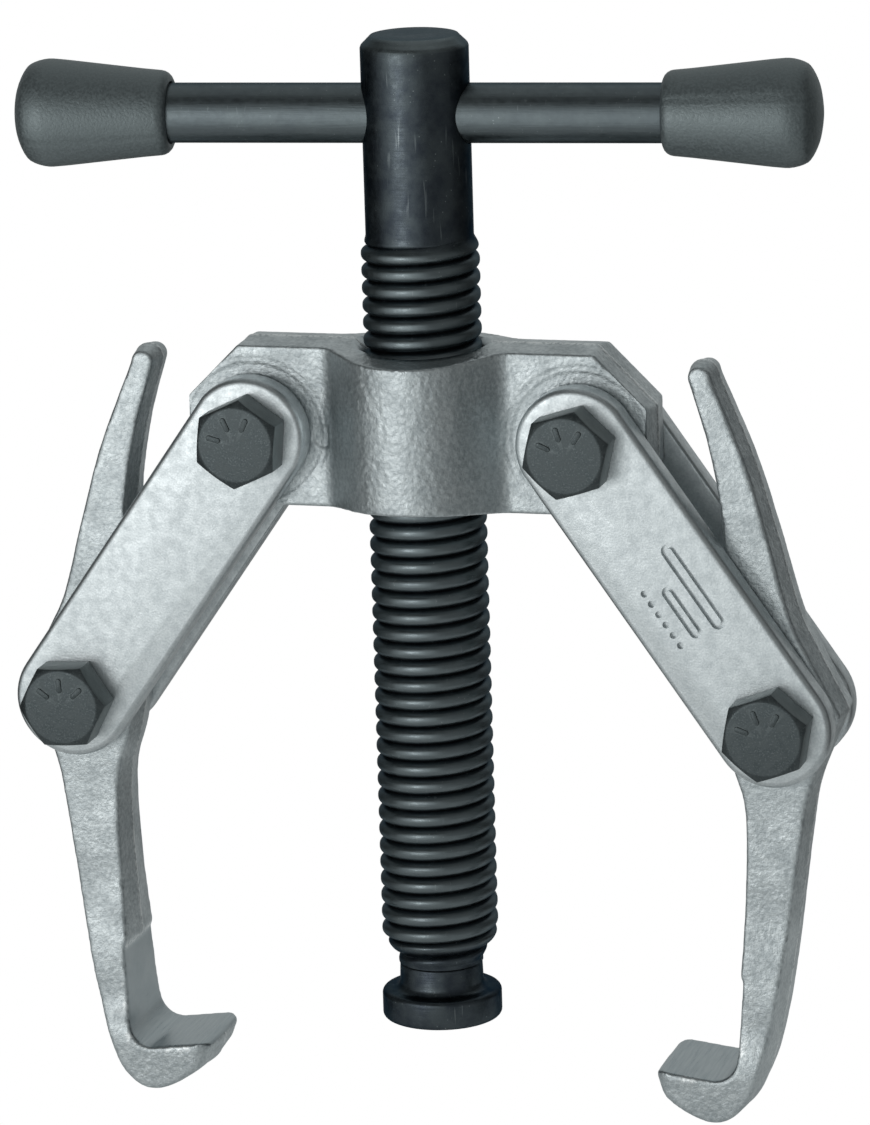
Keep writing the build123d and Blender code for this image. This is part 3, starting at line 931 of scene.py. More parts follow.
@dataclass
class TBar:
    """Round bar that slides through the spindle's head, with a tapered knob pressed on each end."""

    layout: Layout
    knob_length: float = 15.9
    knob_r: float = 5.5
    neck_r: float = 4.2
    knob_wall: float = 3.2
    mouth_gap: float = 0.12
    seam_height: float = 0.09
    seam_width: float = 0.16
    seam_angle: float = 2.05

    def bar(self, finishes: Finishes) -> Obj:
        """The plain bar."""
        half = self.layout.bar_half
        r = self.layout.bar_r
        stations = [-half] + [-half + 2 * half * i / 24 for i in range(1, 24)] + [half]
        profile = [(0, -half, 0), (r, -half, 0.5)] + [(r, z, 0) for z in stations[1:-1]]
        profile += [(r, half, 0.5), (0, half, 0)]
        bm = lathe(profile, 64)
        upright_to_bar(bm, self.layout)
        bar = to_object(bm, "tommy_bar_drawn")
        paint(bar, "polish", lambda co, n: 0.50)
        shade(bar, 50)
        place(bar, finishes, "black_oxide", "tommy_bar", "tommy_bar")
        return bar

    def knob(self, side: Side, finishes: Finishes) -> Obj:
        """One knob, with its mould seam along it."""
        length = self.knob_length
        r = self.knob_r
        bore = self.layout.bar_r
        base = self.layout.bar_half + self.knob_wall - length
        depth = length - self.knob_wall
        taper = [(self.neck_r + (r - self.neck_r) * t, 1.0 + (length - 4.2) * t, 0)
                 for t in (step / 6 for step in range(1, 6))]
        profile = [(0, depth, 0), (bore, depth, 0), (bore, 1.0, 0), (bore + self.mouth_gap, 0.1, 0.1),
                   (self.neck_r - 0.05, 0, 1.1), *taper, (r, length - 2.6, 1.2),
                   (r - 1.0, length - 1.0, 1.6), (r - 3.4, length - 0.2, 1.5), (0, length, 0)]
        bm = lathe(profile, 96)
        moved(bm, Matrix.Translation((0, 0, base)))
        for vert in bm.verts:
            radius = vert.co.xy.length
            if radius > bore + 0.4:
                angle = math.atan2(abs(vert.co.y), vert.co.x)
                seam = math.exp(-((angle - self.seam_angle) * radius / self.seam_width) ** 2)
                vert.co.xy = vert.co.xy * (1 - self.seam_height * seam / radius)
        upright_to_bar(bm, self.layout, side.value)
        knob = to_object(bm, f"{side.label}_knob_moulded")
        shade(knob, 50)
        place(knob, finishes, "knob_plastic", "tommy_bar", f"{side.label}_knob")
        return knob

    def build(self, finishes: Finishes) -> None:
        """Makes the bar and both knobs."""
        self.bar(finishes)
        for side in Side:
            self.knob(side, finishes)


# --- Yoke ---------------------------------------------------------------------------------------------


@dataclass
class Yoke:
    """Forged yoke: a flat web with a round boss, drafted from its parting line."""

    layout: Layout
    web_half: float = 3.5
    draft: float = 6.5
    top_corner: float = 6.0
    bottom_corner: float = 5.0
    end_lean: float = 0.10
    foot_x: float = 9.0
    flank: float = 48.0
    foot_fillet: float = 2.2
    bore_r: float = 6.01
    pivot_r: float = 2.55
    voxel: float = 0.17
    spot_r: float = 7.1
    spot_depth: float = 0.075
    outer_spot_r: float = 7.75
    dimple_x: float = 7.3
    dimple_r: float = 1.15
    dimple_depth: float = 0.16
    foot_flare: float = 0.7
    mouth_flare: float = 1.1
    parting_height: float = 0.08
    parting_width: float = 0.25
    parting_wander: float = 0.12

    def plan(self) -> List[Point]:
        """Outline seen from above: the web, and the boss with its slanted flanks."""
        top = self.layout.boss_r
        end = self.layout.yoke_end
        slope = math.radians(self.flank)
        corner_x = self.foot_x - (top - self.web_half) / math.tan(slope)
        crown_r = corner_x / math.tan(slope / 2)
        crown = arc((0, top - crown_r), crown_r, 90 - self.flank, 90 + self.flank, 24)
        reach = self.foot_fillet * math.tan(slope / 2)
        foot = arc((self.foot_x + reach, self.web_half + self.foot_fillet), self.foot_fillet,
                   270, 270 - self.flank, 8)
        front = [(end, self.web_half), *foot]
        half = front + crown + [(-x, y) for x, y in reversed(front)]
        return half + [(-x, -y) for x, y in half]

    def block(self) -> Mesh:
        """The forging before it is drilled."""
        low, high, end = self.layout.yoke_low, self.layout.yoke_high, self.layout.yoke_end
        bm = bmesh.new()
        bm.faces.new([bm.verts.new((x, y, low)) for x, y in self.plan()])
        thicken(bm, high - low)
        slope = math.radians(self.draft)
        for way in (-1, 1):
            trim(bm, (0, 0, high), (0, way * math.sin(slope), math.cos(slope)))
            trim(bm, (0, 0, low), (0, way * math.sin(slope), -math.cos(slope)))
            trim(bm, (way * (end - self.top_corner), 0, high), (way, 0.0, 1))
            trim(bm, (way * (end - self.bottom_corner), 0, low), (way, 0.0, -1))
        for way in (-1, 1):
            for lean in (self.end_lean, -self.end_lean):
                trim(bm, (way * end, 0, 0), (way, lean, 0))
        return bm

    def spot(self, place_mm: Vector) -> float:
        """How far the spot faces and the dimple sink the web's faces at a place."""
        sunk = 0.0
        for side in Side:
            away = math.hypot(place_mm.x - side.value * self.layout.pivot_x,
                              place_mm.z - self.layout.pivot_z)
            for radius, share in ((self.spot_r, 1.0), (self.outer_spot_r, 0.6)):
                sunk += share * self.spot_depth * smoothstep(radius + 0.15, radius - 0.15, away)
        mark = math.hypot(place_mm.x + self.layout.pivot_x - self.dimple_x,
                          place_mm.z - self.layout.pivot_z + 0.3)
        if place_mm.y < 0:
            sunk += self.dimple_depth * smoothstep(self.dimple_r + 0.12, self.dimple_r - 0.12, mark)
        return sunk

    def surface(self, place_mm: Vector, normal: Vector) -> float:
        """Blasted grain, spot faces and the ridge of the parting line."""
        on_web = abs(abs(place_mm.y) - self.web_half) < 0.3 and abs(normal.y) > 0.9
        boss = smoothstep(8.5, 6.0, abs(place_mm.x))
        lumps = 0.014 * grain(place_mm, 1.5, 3.0) + 0.030 * grain(place_mm, 0.48, 7.0)
        move = lumps * (0.45 + 0.75 * boss)
        if on_web and abs(place_mm.x) > self.foot_x:
            move = 0.35 * lumps - self.spot(place_mm)
        wander = self.parting_wander * grain(place_mm, 2.0, 5.0)
        ridge = math.exp(-((place_mm.y + wander) / self.parting_width) ** 2) * (1 - abs(normal.y))
        outside = place_mm.xy.length > self.bore_r + 0.4
        return move + (self.parting_height * ridge if outside else 0.0)

    def bright(self, place_mm: Vector, normal: Vector) -> float:
        """How much the parting line is painted lighter: partly burnish from its trimming, partly painted
        highlight.
        """
        if place_mm.xy.length < self.bore_r + 1.0:
            return 0.0
        wander = self.parting_wander * grain(place_mm, 2.0, 5.0)
        return math.exp(-((place_mm.y + wander) / 0.32) ** 2) * smoothstep(0.7, 0.4, abs(normal.y))

    def build(self, finishes: Finishes) -> Obj:
        """Forges, drills, blasts and dresses the yoke."""
        yoke = to_object(self.block(), "yoke_forged")
        remesh(yoke, self.voxel, 3)
        displace(yoke, self.surface)
        low, high = self.layout.yoke_low, self.layout.yoke_high
        foot, mouth = self.bore_r + self.foot_flare, self.bore_r + self.mouth_flare
        past = high + 5 * CUTTER
        carve(yoke, lathe([(0, 0, 0), (foot, 0, 0), (foot, low, 0), (self.bore_r, low + 0.9, 0),
                           (self.bore_r, high - self.mouth_flare, 0), (mouth, high, 0), (mouth, past, 0),
                           (0, past, 0)], 96))
        for side in Side:
            carve(yoke, pivot_cutter(self.pivot_r, side.value * self.layout.pivot_x, self.layout.pivot_z))
        paint(yoke, "machined",
              lambda co, n: smoothstep(self.bore_r + 1.3, self.bore_r + 0.9, co.xy.length))
        # painted highlight along the parting line, partly real burnish
        paint(yoke, "parting", self.bright)
        shade(yoke, 50)
        place(yoke, finishes, "forged_zinc", "yoke", "yoke")
        return yoke


# --- Links, bolts and nuts ----------------------------------------------------------------------------


@dataclass
class LinkSet:
    """One side's pair of stamped links with the bolts and nuts that turn with them."""

    layout: Layout
    side: Side
    width: float = 12.0
    edge: float = 0.65
    back_edge: float = 0.4
    hole_r: float = 2.55
    bolt_r: float = 2.5
    bolt_length: float = 20.0
    head_h: float = 3.5
    flats: float = 8.0
    face_r: float = 3.75
    nut_hex: float = 3.7
    nut_h: float = 5.0
    collar_r: float = 3.6
    insert_r: float = 3.1
    insert_low: float = 3.9
    insert_high: float = 4.8
    stamp_depth: float = 0.5
    stamp_bars: Tuple[Tuple[float, ...], ...] = ((0.9, 2.0, 10.0, 1.5), (2.4, -0.5, 6.0, 1.3))
    dot_r: float = 0.36
    dot_pitch: float = 1.25
    mark_h: float = 0.16
    sharp: float = 32.0
    mark_angles: Tuple[float, ...] = (40.0, 90.0, 140.0)
    hex_turns: Dict[Tuple[Side, Level], float] = field(default_factory=lambda: {
        (Side.LEFT, Level.UPPER): 25.0, (Side.RIGHT, Level.UPPER): 17.0,
        (Side.LEFT, Level.LOWER): 3.0, (Side.RIGHT, Level.LOWER): 20.0})

    @property
    def body(self) -> str:
        """Name of the CAD body that the set rides on."""
        return f"{self.side.label}_links"

    def pivot(self, level: Level) -> Tuple[float, float]:
        """X and Z of one pivot of this side."""
        if level is Level.UPPER:
            return self.side.value * self.layout.pivot_x, self.layout.pivot_z
        return self.side.value * self.layout.lower_x, self.layout.lower_z

    def link_matrix(self, y: float) -> Matrix:
        """Places a link that lies along X about its middle, its own +Z towards the front."""
        upper = Vector((self.pivot(Level.UPPER)[0], y, self.pivot(Level.UPPER)[1]))
        lower = Vector((self.pivot(Level.LOWER)[0], y, self.pivot(Level.LOWER)[1]))
        along = (lower - upper).normalized()
        front = Vector((0, -1, 0))
        across = front.cross(along)
        turn = Matrix((along, across, front)).transposed().to_4x4()
        return Matrix.Translation((upper + lower) / 2) @ turn

    def centres(self) -> float:
        """Distance between this link's pivots."""
        return math.hypot(self.layout.lower_x - self.layout.pivot_x,
                          self.layout.pivot_z - self.layout.lower_z)

    def pill(self, length: float, width: float, low: float, high: float) -> Mesh:
        """Round-ended bar along X, between two heights."""
        bm = bmesh.new()
        ring = bmesh.ops.create_circle(bm, cap_ends=True, radius=width / 2, segments=64)["verts"]
        for vert in ring:
            vert.co.x += math.copysign((length - width) / 2, vert.co.x)
            vert.co.z = low
        return thicken(bm, high - low)

    def blank(self, thickness: float) -> Mesh:
        """A punched link with its front edge tumbled round, lying from z = 0 up."""
        bm = self.pill(self.centres() + self.width, self.width, 0.0, thickness)
        for z, offset, segments in ((thickness, self.edge, 5), (0.0, self.back_edge, 3)):
            rim = [edge for edge in bm.edges if all(abs(vert.co.z - z) < 1e-4 for vert in edge.verts)]
            round_off(bm, rim, offset, segments, clamp=True)
        return bm

    def stamp(self, link: Obj, matrix: Matrix, thickness: float) -> None:
        """Presses a plain pattern of outlined bars and dots into a link's face."""
        floor = thickness - self.stamp_depth
        for along, across, length, width in self.stamp_bars:
            where = matrix @ Matrix.Translation((along, across, 0))
            carve(link, moved(self.pill(length, width, floor, thickness + 1), where))
            island = self.pill(length - 0.9, width - 0.8, floor - 0.1, thickness - 0.02)
            carve(link, moved(island, where), "UNION")
        for index in range(6):
            where = matrix @ Matrix.Translation((-1.2 + index * self.dot_pitch, -2.6, 0))
            carve(link, moved(rod(self.dot_r, floor, thickness + 1, 20), where))

    def link(self, front: bool, finishes: Finishes) -> Obj:
        """One link, the front one or the rear one."""
        thickness = self.layout.link_outer - self.layout.link_inner
        y = -self.layout.link_inner if front else self.layout.link_outer
        matrix = self.link_matrix(y)
        bm = self.blank(thickness)
        if not front:
            moved(bm, Matrix.Translation((0, 0, thickness)) @ Matrix.Scale(-1, 4, (0, 0, 1)))
            bmesh.ops.recalc_face_normals(bm, faces=bm.faces)
        moved(bm, matrix)
        word = "front" if front else "rear"
        link = to_object(bm, f"{self.side.label}_{word}_link_stamped")
        for end in (-1, 1):
            where = matrix @ Matrix.Translation((end * self.centres() / 2, 0, 0))
            carve(link, moved(rod(self.hole_r, -CUTTER, CUTTER, 48), where))
        if front and self.side is Side.RIGHT:
            self.stamp(link, matrix, thickness)
        shade(link, 30)
        place(link, finishes, "link_zinc", self.body, f"{self.side.label}_{word}_link")
        return link

    def hexagon(self, height: float, both_ends: bool) -> Mesh:
        """Hexagon from z = 0 up with round 30 degree chamfers, cut from a turned blank."""
        corner = self.flats / math.sqrt(3)
        drop = (corner - self.face_r) * math.tan(math.radians(30))
        foot = [(self.face_r, 0, 0), (corner, drop, 0)] if both_ends else [(corner, 0, 0)]
        head = [(corner, height - drop, 0), (self.face_r, height, 0.12), (0, height, 0)]
        bm = lathe([(0, 0, 0), *foot, *head], 72)
        for index in range(6):
            angle = math.radians(60 * index + 30)
            normal = (math.cos(angle), math.sin(angle), 0)
            trim(bm, [self.flats / 2 * part for part in normal], normal)
        bmesh.ops.remove_doubles(bm, verts=bm.verts, dist=1e-3)
        bmesh.ops.recalc_face_normals(bm, faces=bm.faces)
        return bm

    def fastener_matrix(self, level: Level, y: float, towards: int) -> Matrix:
        """Places a fastener built about Z on its pivot, its +Z towards -Y or +Y."""
        x, z = self.pivot(level)
        spin = Matrix.Rotation(math.radians(-self.hex_turns[self.side, level]), 4, "Y")
        return Matrix.Translation((x, y, z)) @ spin @ Matrix.Rotation(-towards * math.pi / 2, 4, "X")

    def bolt(self, level: Level, finishes: Finishes) -> Obj:
        """Hexagon bolt: shank, head and a plain raised grade mark of short bars."""
        matrix = self.fastener_matrix(level, -self.layout.link_outer, -1)
        name = f"{self.side.label}_{level.value}_bolt"
        bolt = to_object(moved(self.hexagon(self.head_h, False), matrix), f"{name}_headed")
        shank = lathe([(0, -self.bolt_length, 0), (self.bolt_r, -self.bolt_length, 0.5),
                       (self.bolt_r, 0.5, 0), (0, 0.5, 0)], 48)
        carve(bolt, moved(shank, matrix), "UNION")
        self.dress_fastener(bolt)
        for angle in self.mark_angles:
            bar = self.pill(1.5, 0.55, -0.4, self.mark_h)
            rim = [edge for edge in bar.edges if all(vert.co.z > 0.1 for vert in edge.verts)]
            round_off(bar, rim, 0.1, 2)
            turn = Matrix.Rotation(math.radians(angle), 4, "Z")
            carve(bolt, moved(bar, matrix @ turn @ Matrix.Translation((2.3, 0, self.head_h))), "UNION")
        shade(bolt, self.sharp)
        self.paint_flanks(bolt)
        place(bolt, finishes, "bolt_phosphate", self.body, name)
        return bolt

    def nut(self, level: Level, finishes: Finishes) -> Obj:
        """Self-locking nut with its round collar."""
        matrix = self.fastener_matrix(level, self.layout.link_outer, 1)
        name = f"{self.side.label}_{level.value}_nut"
        nut = to_object(moved(self.hexagon(self.nut_hex, True), matrix), f"{name}_formed")
        collar = lathe([(0, 1, 0), (self.collar_r, 1, 0), (self.collar_r, self.nut_h, 0.7),
                        (self.collar_r - 0.6, self.nut_h, 0.1), (self.collar_r - 0.7, self.nut_h - 0.2, 0),
                        (0, self.nut_h - 0.2, 0)], 64)
        carve(nut, moved(collar, matrix), "UNION")
        for low, high, radius in ((-1, 6, self.bolt_r), (self.insert_low, self.insert_high, self.insert_r)):
            carve(nut, moved(rod(radius, low, high, 48), matrix))
        self.dress_fastener(nut)
        self.paint_flanks(nut)
        place(nut, finishes, "bolt_phosphate", self.body, name)
        return nut

    def dress_fastener(self, obj: Obj) -> None:
        """Breaks the hard edges of a bolt or nut and shades it."""
        edge = obj.modifiers.new("edges", "BEVEL")
        edge.width = 0.10 * MM
        edge.segments = 2
        edge.limit_method = "ANGLE"
        edge.angle_limit = math.radians(self.sharp)
        edge.harden_normals = False
        bake_modifiers(obj)
        shade(obj, self.sharp)

    def paint_flanks(self, obj: Obj) -> None:
        """Marks the sides of a bolt head or nut, which the finish paints lighter: painted light where the
        lamps leave them dark.
        """
        paint(obj, "flank", lambda co, n: smoothstep(0.8, 0.45, abs(n.y)))

    def build(self, finishes: Finishes) -> None:
        """Makes the two links and their fasteners."""
        for front in (True, False):
            self.link(front, finishes)
        for level in Level:
            self.bolt(level, finishes)
            self.nut(level, finishes)


# --- Arms ---------------------------------------------------------------------------------------------


@dataclass
class Arm:
    """Forged arm with a tail above its pivot and a machined hook below."""

    layout: Layout
    side: Side
    eye_r: float = 6.6
    tail_reach: float = 35.9
    tail_tip_u: float = 7.6
    tail_tip_r: float = 1.5
    hook_drop: float = 41.9
    hook_reach: float = 13.0
    hook_face: float = -37.1
    tip_rise: float = 0.7
    step_w: float = -26.6
    step_depth: float = 0.5
    corner_r: float = 2.4
    toe_corner: float = 2.0
    pivot_r: float = 2.55
    draft: float = 0.34
    land: float = 0.22
    eye_half: float = 3.4
    middle_half: float = 3.7
    foot_half: float = 5.7
    tail_half: float = 2.5
    parting_height: float = 0.07
    parting_width: float = 0.22
    voxel: float = 0.19

    def outline(self) -> List[Point]:
        """Side outline from the pivot: u towards the spindle, w up."""
        tip_left = (self.tail_tip_u - self.tail_tip_r, self.tail_reach - self.tail_tip_r)
        tip_right = (self.tail_tip_u + self.tail_tip_r, self.tail_reach - self.tail_tip_r)
        eye_left = (-self.eye_r, 0.8)
        eye_right = (self.eye_r - 0.3, 2.0)
        low, high = self.machined_ends()
        toe = (self.hook_reach, self.hook_face + self.tip_rise - 0.9)
        belly = (7.0, -self.hook_drop)
        back = smooth_curve([eye_left, (-3.6, 6.6), (-1.7, 10.6), (0.5, 18.6), (2.7, 26.0), tip_left], 8)
        tip = arc((self.tail_tip_u, tip_left[1]), self.tail_tip_r, 180, 0, 8)
        inner_tail = smooth_curve([tip_right, (6.9, 27.0), (5.6, 18.5), (5.9, 9.0), eye_right], 8)
        inner_leg = smooth_curve([eye_right, (5.2, -4.4), (3.9, -9.0), (3.8, -16.0), high], 6)
        sole = smooth_curve([toe, (11.6, -self.hook_drop + 2.2), belly, (3.4, -self.hook_drop + 2.0),
                             (1.0, -33.4), (-0.9, -23.4), (-2.4, -12.8), (-3.6, -6.6), eye_left], 7)
        return back[:-1] + tip[:-1] + inner_tail[:-1] + inner_leg + self.machined_line(low) + sole[:-1]

    def machined_ends(self) -> Tuple[Point, Point]:
        """Where the machined inner face starts, and the forged face's end above it."""
        return (4.3 - self.step_depth, self.step_w - 0.45), (4.35, self.step_w + 0.1)

    def machined_line(self, low: Point) -> List[Point]:
        """The milled leg face, the corner and the gripping face."""
        r = self.corner_r
        corner = arc((4.3 + r, self.hook_face + r), r, 180, 270, 6)
        toe_top = (self.hook_reach - 0.9, self.hook_face + self.tip_rise)
        return [low, *corner, toe_top, (self.hook_reach - 0.2, self.hook_face + self.tip_rise - 0.25)]

    def half_width(self, w: float) -> float:
        """Half of the arm's thickness along Y at a height."""
        stations = [(-self.hook_drop - 1, self.foot_half), (self.hook_face, self.foot_half),
                    (self.hook_face + 6, self.foot_half - 0.9), (-18.0, self.middle_half),
                    (-9.0, self.eye_half), (self.tail_reach * 0.4, self.eye_half),
                    (self.tail_reach + 1, self.tail_half)]
        for (w0, h0), (w1, h1) in zip(stations, stations[1:]):
            if w <= w1:
                return h0 + (h1 - h0) * smoothstep(w0, w1, w) if h0 > self.eye_half else \
                    h0 + (h1 - h0) * (w - w0) / (w1 - w0)
        return self.tail_half

    def off_machined(self, u: float, w: float) -> float:
        """Distance from the milled faces in the side view."""
        line = self.machined_line(self.machined_ends()[0])
        best = 99.0
        for a, b in zip(line, line[1:]):
            run = Vector(b) - Vector(a)
            t = max(0.0, min(1.0, (Vector((u, w)) - Vector(a)).dot(run) / run.length_squared))
            best = min(best, (Vector((u, w)) - Vector(a) - run * t).length)
        return best

    def toe_limit(self, u: float) -> float:
        """Half width that the rounded toe corners leave at a reach."""
        into = u - (self.hook_reach - self.toe_corner)
        if into <= 0:
            return 99.0
        return self.foot_half - self.toe_corner + math.sqrt(max(0.0, self.toe_corner ** 2 - into ** 2))

    def blank(self) -> Mesh:
        """The forging: the outline spread both ways from the parting line, with draft and flare."""
        bm, rings = prism(self.outline(), (-self.eye_half, -self.land, self.land, self.eye_half))
        outward = [vert.normal.copy() for vert in rings[1]]
        for ring in (rings[0], rings[3]):
            for vert, normal in zip(ring, outward):
                milled = smoothstep(0.9, 0.2, self.off_machined(vert.co.x, vert.co.z))
                flat = Vector((normal.x, 0, normal.z)).normalized()
                vert.co -= flat * self.draft * (1 - milled)
        bmesh.ops.triangulate(bm, faces=[face for face in bm.faces if len(face.verts) > 4])
        w = -self.hook_drop + 0.7
        while w < -5.0:
            score(bm, (0, 0, w), (0, 0, 1))
            w += 1.1
        for into in (0.0, 0.6, 1.1, 1.5, 1.8):
            score(bm, (self.hook_reach - self.toe_corner + into, 0, 0), (1, 0, 0))
        for vert in bm.verts:
            vert.co.y *= self.half_width(vert.co.z) / self.eye_half
            limit = self.toe_limit(vert.co.x)
            if vert.co.z < self.hook_face + 3 and abs(vert.co.y) > limit:
                vert.co.y = math.copysign(limit, vert.co.y)
        return bm

    def locate(self, bm: Mesh) -> None:
        """Moves a mesh drawn for the left side from its pivot to its place on this side."""
        if self.side is Side.RIGHT:
            bmesh.ops.scale(bm, vec=(-1, 1, 1), verts=bm.verts)
            bmesh.ops.reverse_faces(bm, faces=bm.faces)
        moved(bm, Matrix.Translation((self.side.value * self.layout.lower_x, 0, self.layout.lower_z)))

    def own(self, place_mm: Vector) -> Triple:
        """A place as u, y, w from this arm's pivot."""
        u = self.layout.lower_x - self.side.value * place_mm.x
        return u, place_mm.y, place_mm.z - self.layout.lower_z

    def milled(self, place_mm: Vector, normal: Vector) -> float:
        """1 on the milled faces, 0 elsewhere."""
        u, _, w = self.own(place_mm)
        if w > self.step_w or abs(normal.y) > 0.75:
            return 0.0
        return smoothstep(0.34, 0.2, self.off_machined(u, w))

    def bright(self, place_mm: Vector, normal: Vector) -> float:
        """How much lighter a place is painted: the parting line, partly burnished and partly painted
        highlight, and painted highlights on the step and the front rim of the milled faces.
        """
        u, y, w = self.own(place_mm)
        sideways = smoothstep(0.7, 0.4, abs(normal.y))
        forged = 1 - self.milled(place_mm, normal)
        line = math.exp(-((y + 0.10 * grain(place_mm, 2.0)) / self.parting_width) ** 2) * sideways * forged
        # painted highlight along the edge of the step
        step = math.exp(-((w - self.step_w + 0.2) / 0.28) ** 2) * sideways if u > 3.0 else 0.0
        rim = 0.0
        # painted highlight on the front rim of the milled faces
        if normal.y < -0.3 and w < self.step_w - 4:
            patchy = smoothstep(-0.25, 0.35, grain(place_mm, 1.6, 9.0))
            rim = patchy * math.exp(-((self.off_machined(u, w) - 0.35) / 0.35) ** 2)
        return min(1.0, max(line, 0.9 * step, 0.8 * rim))

    def surface(self, place_mm: Vector, normal: Vector) -> float:
        """Blasted grain and hammer-scale waviness, absent where the arm is milled."""
        seed = 11.0 if self.side is Side.LEFT else 29.0
        lumps = 0.030 * grain(place_mm, 1.6, seed) + 0.010 * grain(place_mm, 0.5, seed + 4)
        ridge = math.exp(-(place_mm.y / self.parting_width) ** 2) * (1 - abs(normal.y))
        return (0.8 * lumps + self.parting_height * ridge) * (1 - self.milled(place_mm, normal))

    def build(self, finishes: Finishes) -> Obj:
        """Forges, drills, mills and dresses the arm."""
        bm = self.blank()
        self.locate(bm)
        bmesh.ops.recalc_face_normals(bm, faces=bm.faces)
        arm = to_object(bm, f"{self.side.label}_arm_forged")
        remesh(arm, self.voxel, 6)
        displace(arm, self.surface)
        carve(arm, pivot_cutter(self.pivot_r, self.side.value * self.layout.lower_x, self.layout.lower_z))
        paint(arm, "machined", self.milled)
        # marks the painted highlights and the burnished parting line
        paint(arm, "parting", self.bright)
        shade(arm, 50)
        place(arm, finishes, "forged_zinc", f"{self.side.label}_arm", f"{self.side.label}_arm")
        return arm


# --- Studio -------------------------------------------------------------------------------------------


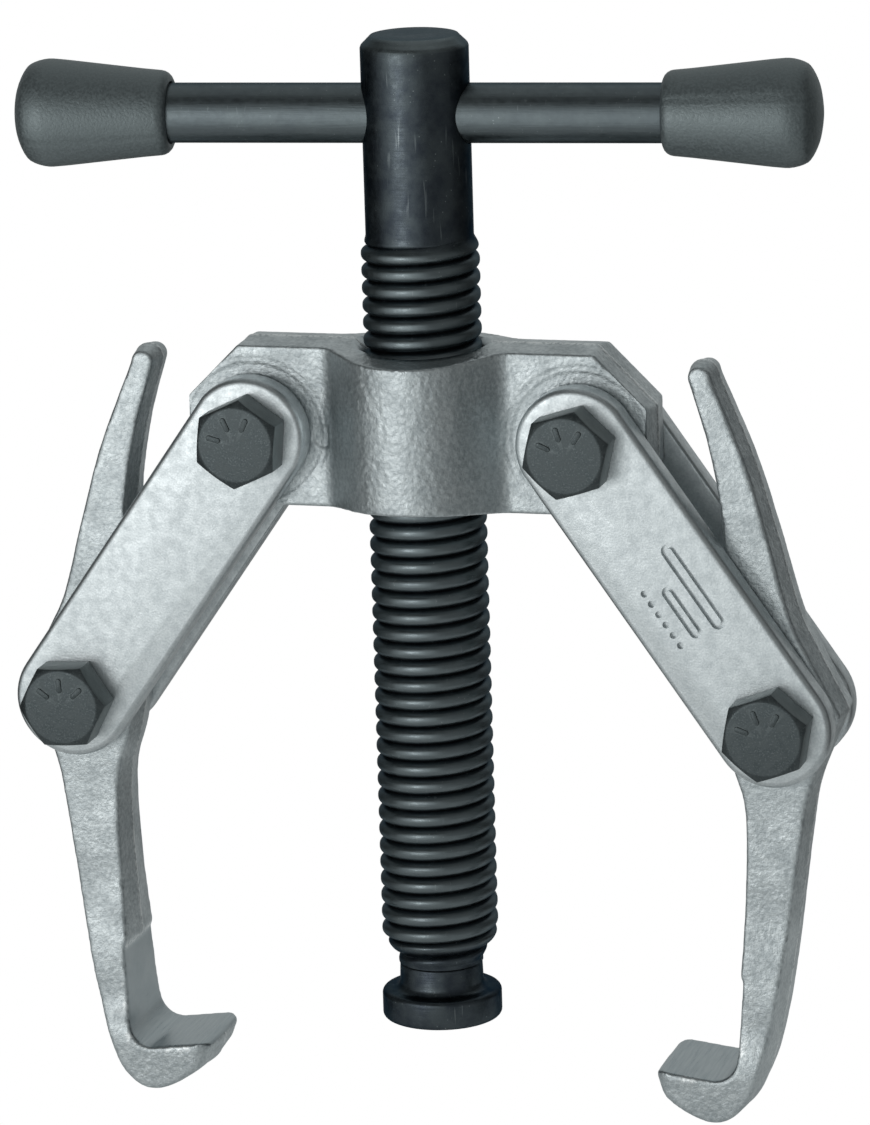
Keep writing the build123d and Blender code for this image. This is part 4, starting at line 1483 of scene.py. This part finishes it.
@dataclass
class Studio:
    """White surroundings with soft light from the front left, and the camera."""

    layout: Layout
    azimuth: float = 16.0
    elevation: float = 13.8
    roll: float = -1.7
    distance: float = 650.0
    frame_height: float = 113.2
    aim_x: float = 0.57
    aim_z: float = 47.57
    floor_size: float = 90.0
    floor_y: float = -35.0
    floor_glow: float = 0.22
    glow_color: Tuple[float, ...] = (0.95, 1.0, 1.0, 1.0)
    sky_base: float = 0.06
    # direction, where the patch starts and where it is full (both cosines), strength
    sky_patches: Tuple[Tuple[Triple, float, float, float], ...] = (
        ((-0.42, -0.90, -0.12), 0.55, 0.97, 0.72),
        ((-0.1, -0.5, -0.85), 0.6, 0.98, 0.22),
        ((-0.12, 0.97, 0.20), 0.52, 0.98, 0.42),
        ((0.7, -0.7, 0.0), 0.3, 0.95, 0.16),
        ((0.0, 0.25, 0.97), 0.70, 0.98, 0.30),
    )
    box_place: Triple = (-240.0, -560.0, 70.0)
    box_size: float = 200.0
    box_power: float = 0.35

    def direction(self) -> Vector:
        """Unit vector from the object towards the camera."""
        azimuth, elevation = math.radians(self.azimuth), math.radians(self.elevation)
        return Vector((math.sin(azimuth) * math.cos(elevation), -math.cos(azimuth) * math.cos(elevation),
                       math.sin(elevation)))

    def camera(self) -> None:
        """A long lens, level apart from a slight roll."""
        data = bpy.data.cameras.new("camera")
        data.sensor_fit = "VERTICAL"
        data.sensor_height = 36.0
        data.lens = data.sensor_height * self.distance / self.frame_height
        data.clip_start = 0.01
        data.clip_end = 20.0
        camera = bpy.data.objects.new("camera", data)
        back = self.direction()
        right = Vector((math.cos(math.radians(self.azimuth)), math.sin(math.radians(self.azimuth)), 0))
        up = back.cross(right)
        turn = Matrix((right, up, back)).transposed().to_4x4()
        turn = turn @ Matrix.Rotation(math.radians(self.roll), 4, "Z")
        aim = Vector((self.aim_x, 0, self.aim_z))
        camera.matrix_world = Matrix.Translation((aim + back * self.distance) * MM) @ turn
        bpy.context.scene.collection.objects.link(camera)
        bpy.context.scene.camera = camera

    def floor(self) -> None:
        """Plain pale floor under the hooks: white to look at, grey with a faint glow to what it lights."""
        bm = bmesh.new()
        bmesh.ops.create_grid(bm, x_segments=1, y_segments=1, size=self.floor_size)
        place_mm = (0, self.floor_y, self.layout.floor - 0.05)
        floor = to_object(moved(bm, Matrix.Translation(place_mm)), "floor")
        material = bpy.data.materials.new("pale_floor")
        material.use_nodes = True
        tree = material.node_tree
        shader = tree.nodes["Principled BSDF"]
        shader.inputs["Base Color"].default_value = (0.8, 0.8, 0.8, 1)
        shader.inputs["Roughness"].default_value = 0.9
        shader.inputs["Emission Color"].default_value = self.glow_color
        shader.inputs["Emission Strength"].default_value = self.floor_glow
        white = tree.nodes.new("ShaderNodeEmission")
        self.split(tree, shader, white, tree.nodes["Material Output"])
        floor.data.materials.append(material)
        floor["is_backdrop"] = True

    @staticmethod
    def split(tree: bpy.types.NodeTree, lit: bpy.types.Node, seen: bpy.types.Node,
              out: bpy.types.Node) -> None:
        """Shows one shader to the camera and another to whatever it lights."""
        path = tree.nodes.new("ShaderNodeLightPath")
        pick = tree.nodes.new("ShaderNodeMixShader")
        tree.links.new(path.outputs["Is Camera Ray"], pick.inputs["Fac"])
        tree.links.new(lit.outputs[0], pick.inputs[1])
        tree.links.new(seen.outputs[0], pick.inputs[2])
        tree.links.new(pick.outputs[0], out.inputs["Surface"])

    def world(self) -> None:
        """White backdrop; for reflections, a bright front, a dim back and a soft patch overhead."""
        world = bpy.data.worlds.new("studio")
        world.use_nodes = True
        tree = world.node_tree
        coords = tree.nodes.new("ShaderNodeTexCoord").outputs["Generated"]
        total = None
        for towards, low, high, strength in self.sky_patches:
            dot = tree.nodes.new("ShaderNodeVectorMath")
            dot.operation = "DOT_PRODUCT"
            dot.inputs[1].default_value = Vector(towards).normalized()
            tree.links.new(coords, dot.inputs[0])
            ramp = tree.nodes.new("ShaderNodeMapRange")
            ramp.interpolation_type = "SMOOTHSTEP"
            for key, value in (("From Min", low), ("From Max", high), ("To Min", 0), ("To Max", strength)):
                ramp.inputs[key].default_value = value
            tree.links.new(dot.outputs["Value"], ramp.inputs["Value"])
            add = tree.nodes.new("ShaderNodeMath")
            add.inputs[1].default_value = self.sky_base
            if total is not None:
                tree.links.new(total, add.inputs[1])
            tree.links.new(ramp.outputs["Result"], add.inputs[0])
            total = add.outputs[0]
        sky = tree.nodes["Background"]
        sky.inputs["Color"].default_value = self.glow_color
        tree.links.new(total, sky.inputs["Strength"])
        white = tree.nodes.new("ShaderNodeBackground")
        white.inputs["Color"].default_value = (1, 1, 1, 1)
        self.split(tree, sky, white, tree.nodes["World Output"])
        bpy.context.scene.world = world

    def softbox(self) -> None:
        """A square soft light aimed at the object's middle."""
        data = bpy.data.lights.new("key", "AREA")
        data.size = self.box_size * MM
        data.energy = self.box_power
        light = bpy.data.objects.new("key", data)
        where = Vector(self.box_place)
        turn = (where - Vector((0, 0, self.aim_z))).to_track_quat("Z", "Y").to_matrix().to_4x4()
        light.matrix_world = Matrix.Translation(where * MM) @ turn
        bpy.context.scene.collection.objects.link(light)

    def build(self) -> None:
        """Sets the whole studio up."""
        scene = bpy.context.scene
        scene.view_settings.view_transform = "Standard"
        self.camera()
        self.floor()
        self.world()
        self.softbox()


# --- Assembly -----------------------------------------------------------------------------------------


def dress_hidden_nodes(frame: dict, finishes: Finishes) -> None:
    """Gives the small inner CAD pieces their finishes."""
    for name, obj in frame["nodes"].items():
        if name.endswith("nut_insert"):
            finishes.dress(obj, "insert_nylon")
        elif name == "pad_snap_ring":
            finishes.dress(obj, "spring_steel")


def main() -> None:
    logging.basicConfig(level=logging.INFO, format="%(name)s %(message)s")
    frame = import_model()
    layout = Layout.from_frame(frame)
    finishes = Finishes()
    Studio(layout).build()
    Spindle(layout).build(finishes)
    ThrustPad(layout).build(finishes)
    TBar(layout).build(finishes)
    Yoke(layout).build(finishes)
    for side in Side:
        LinkSet(layout, side).build(finishes)
        Arm(layout, side).build(finishes)
    dress_hidden_nodes(frame, finishes)


if __name__ == "__main__":
    main()
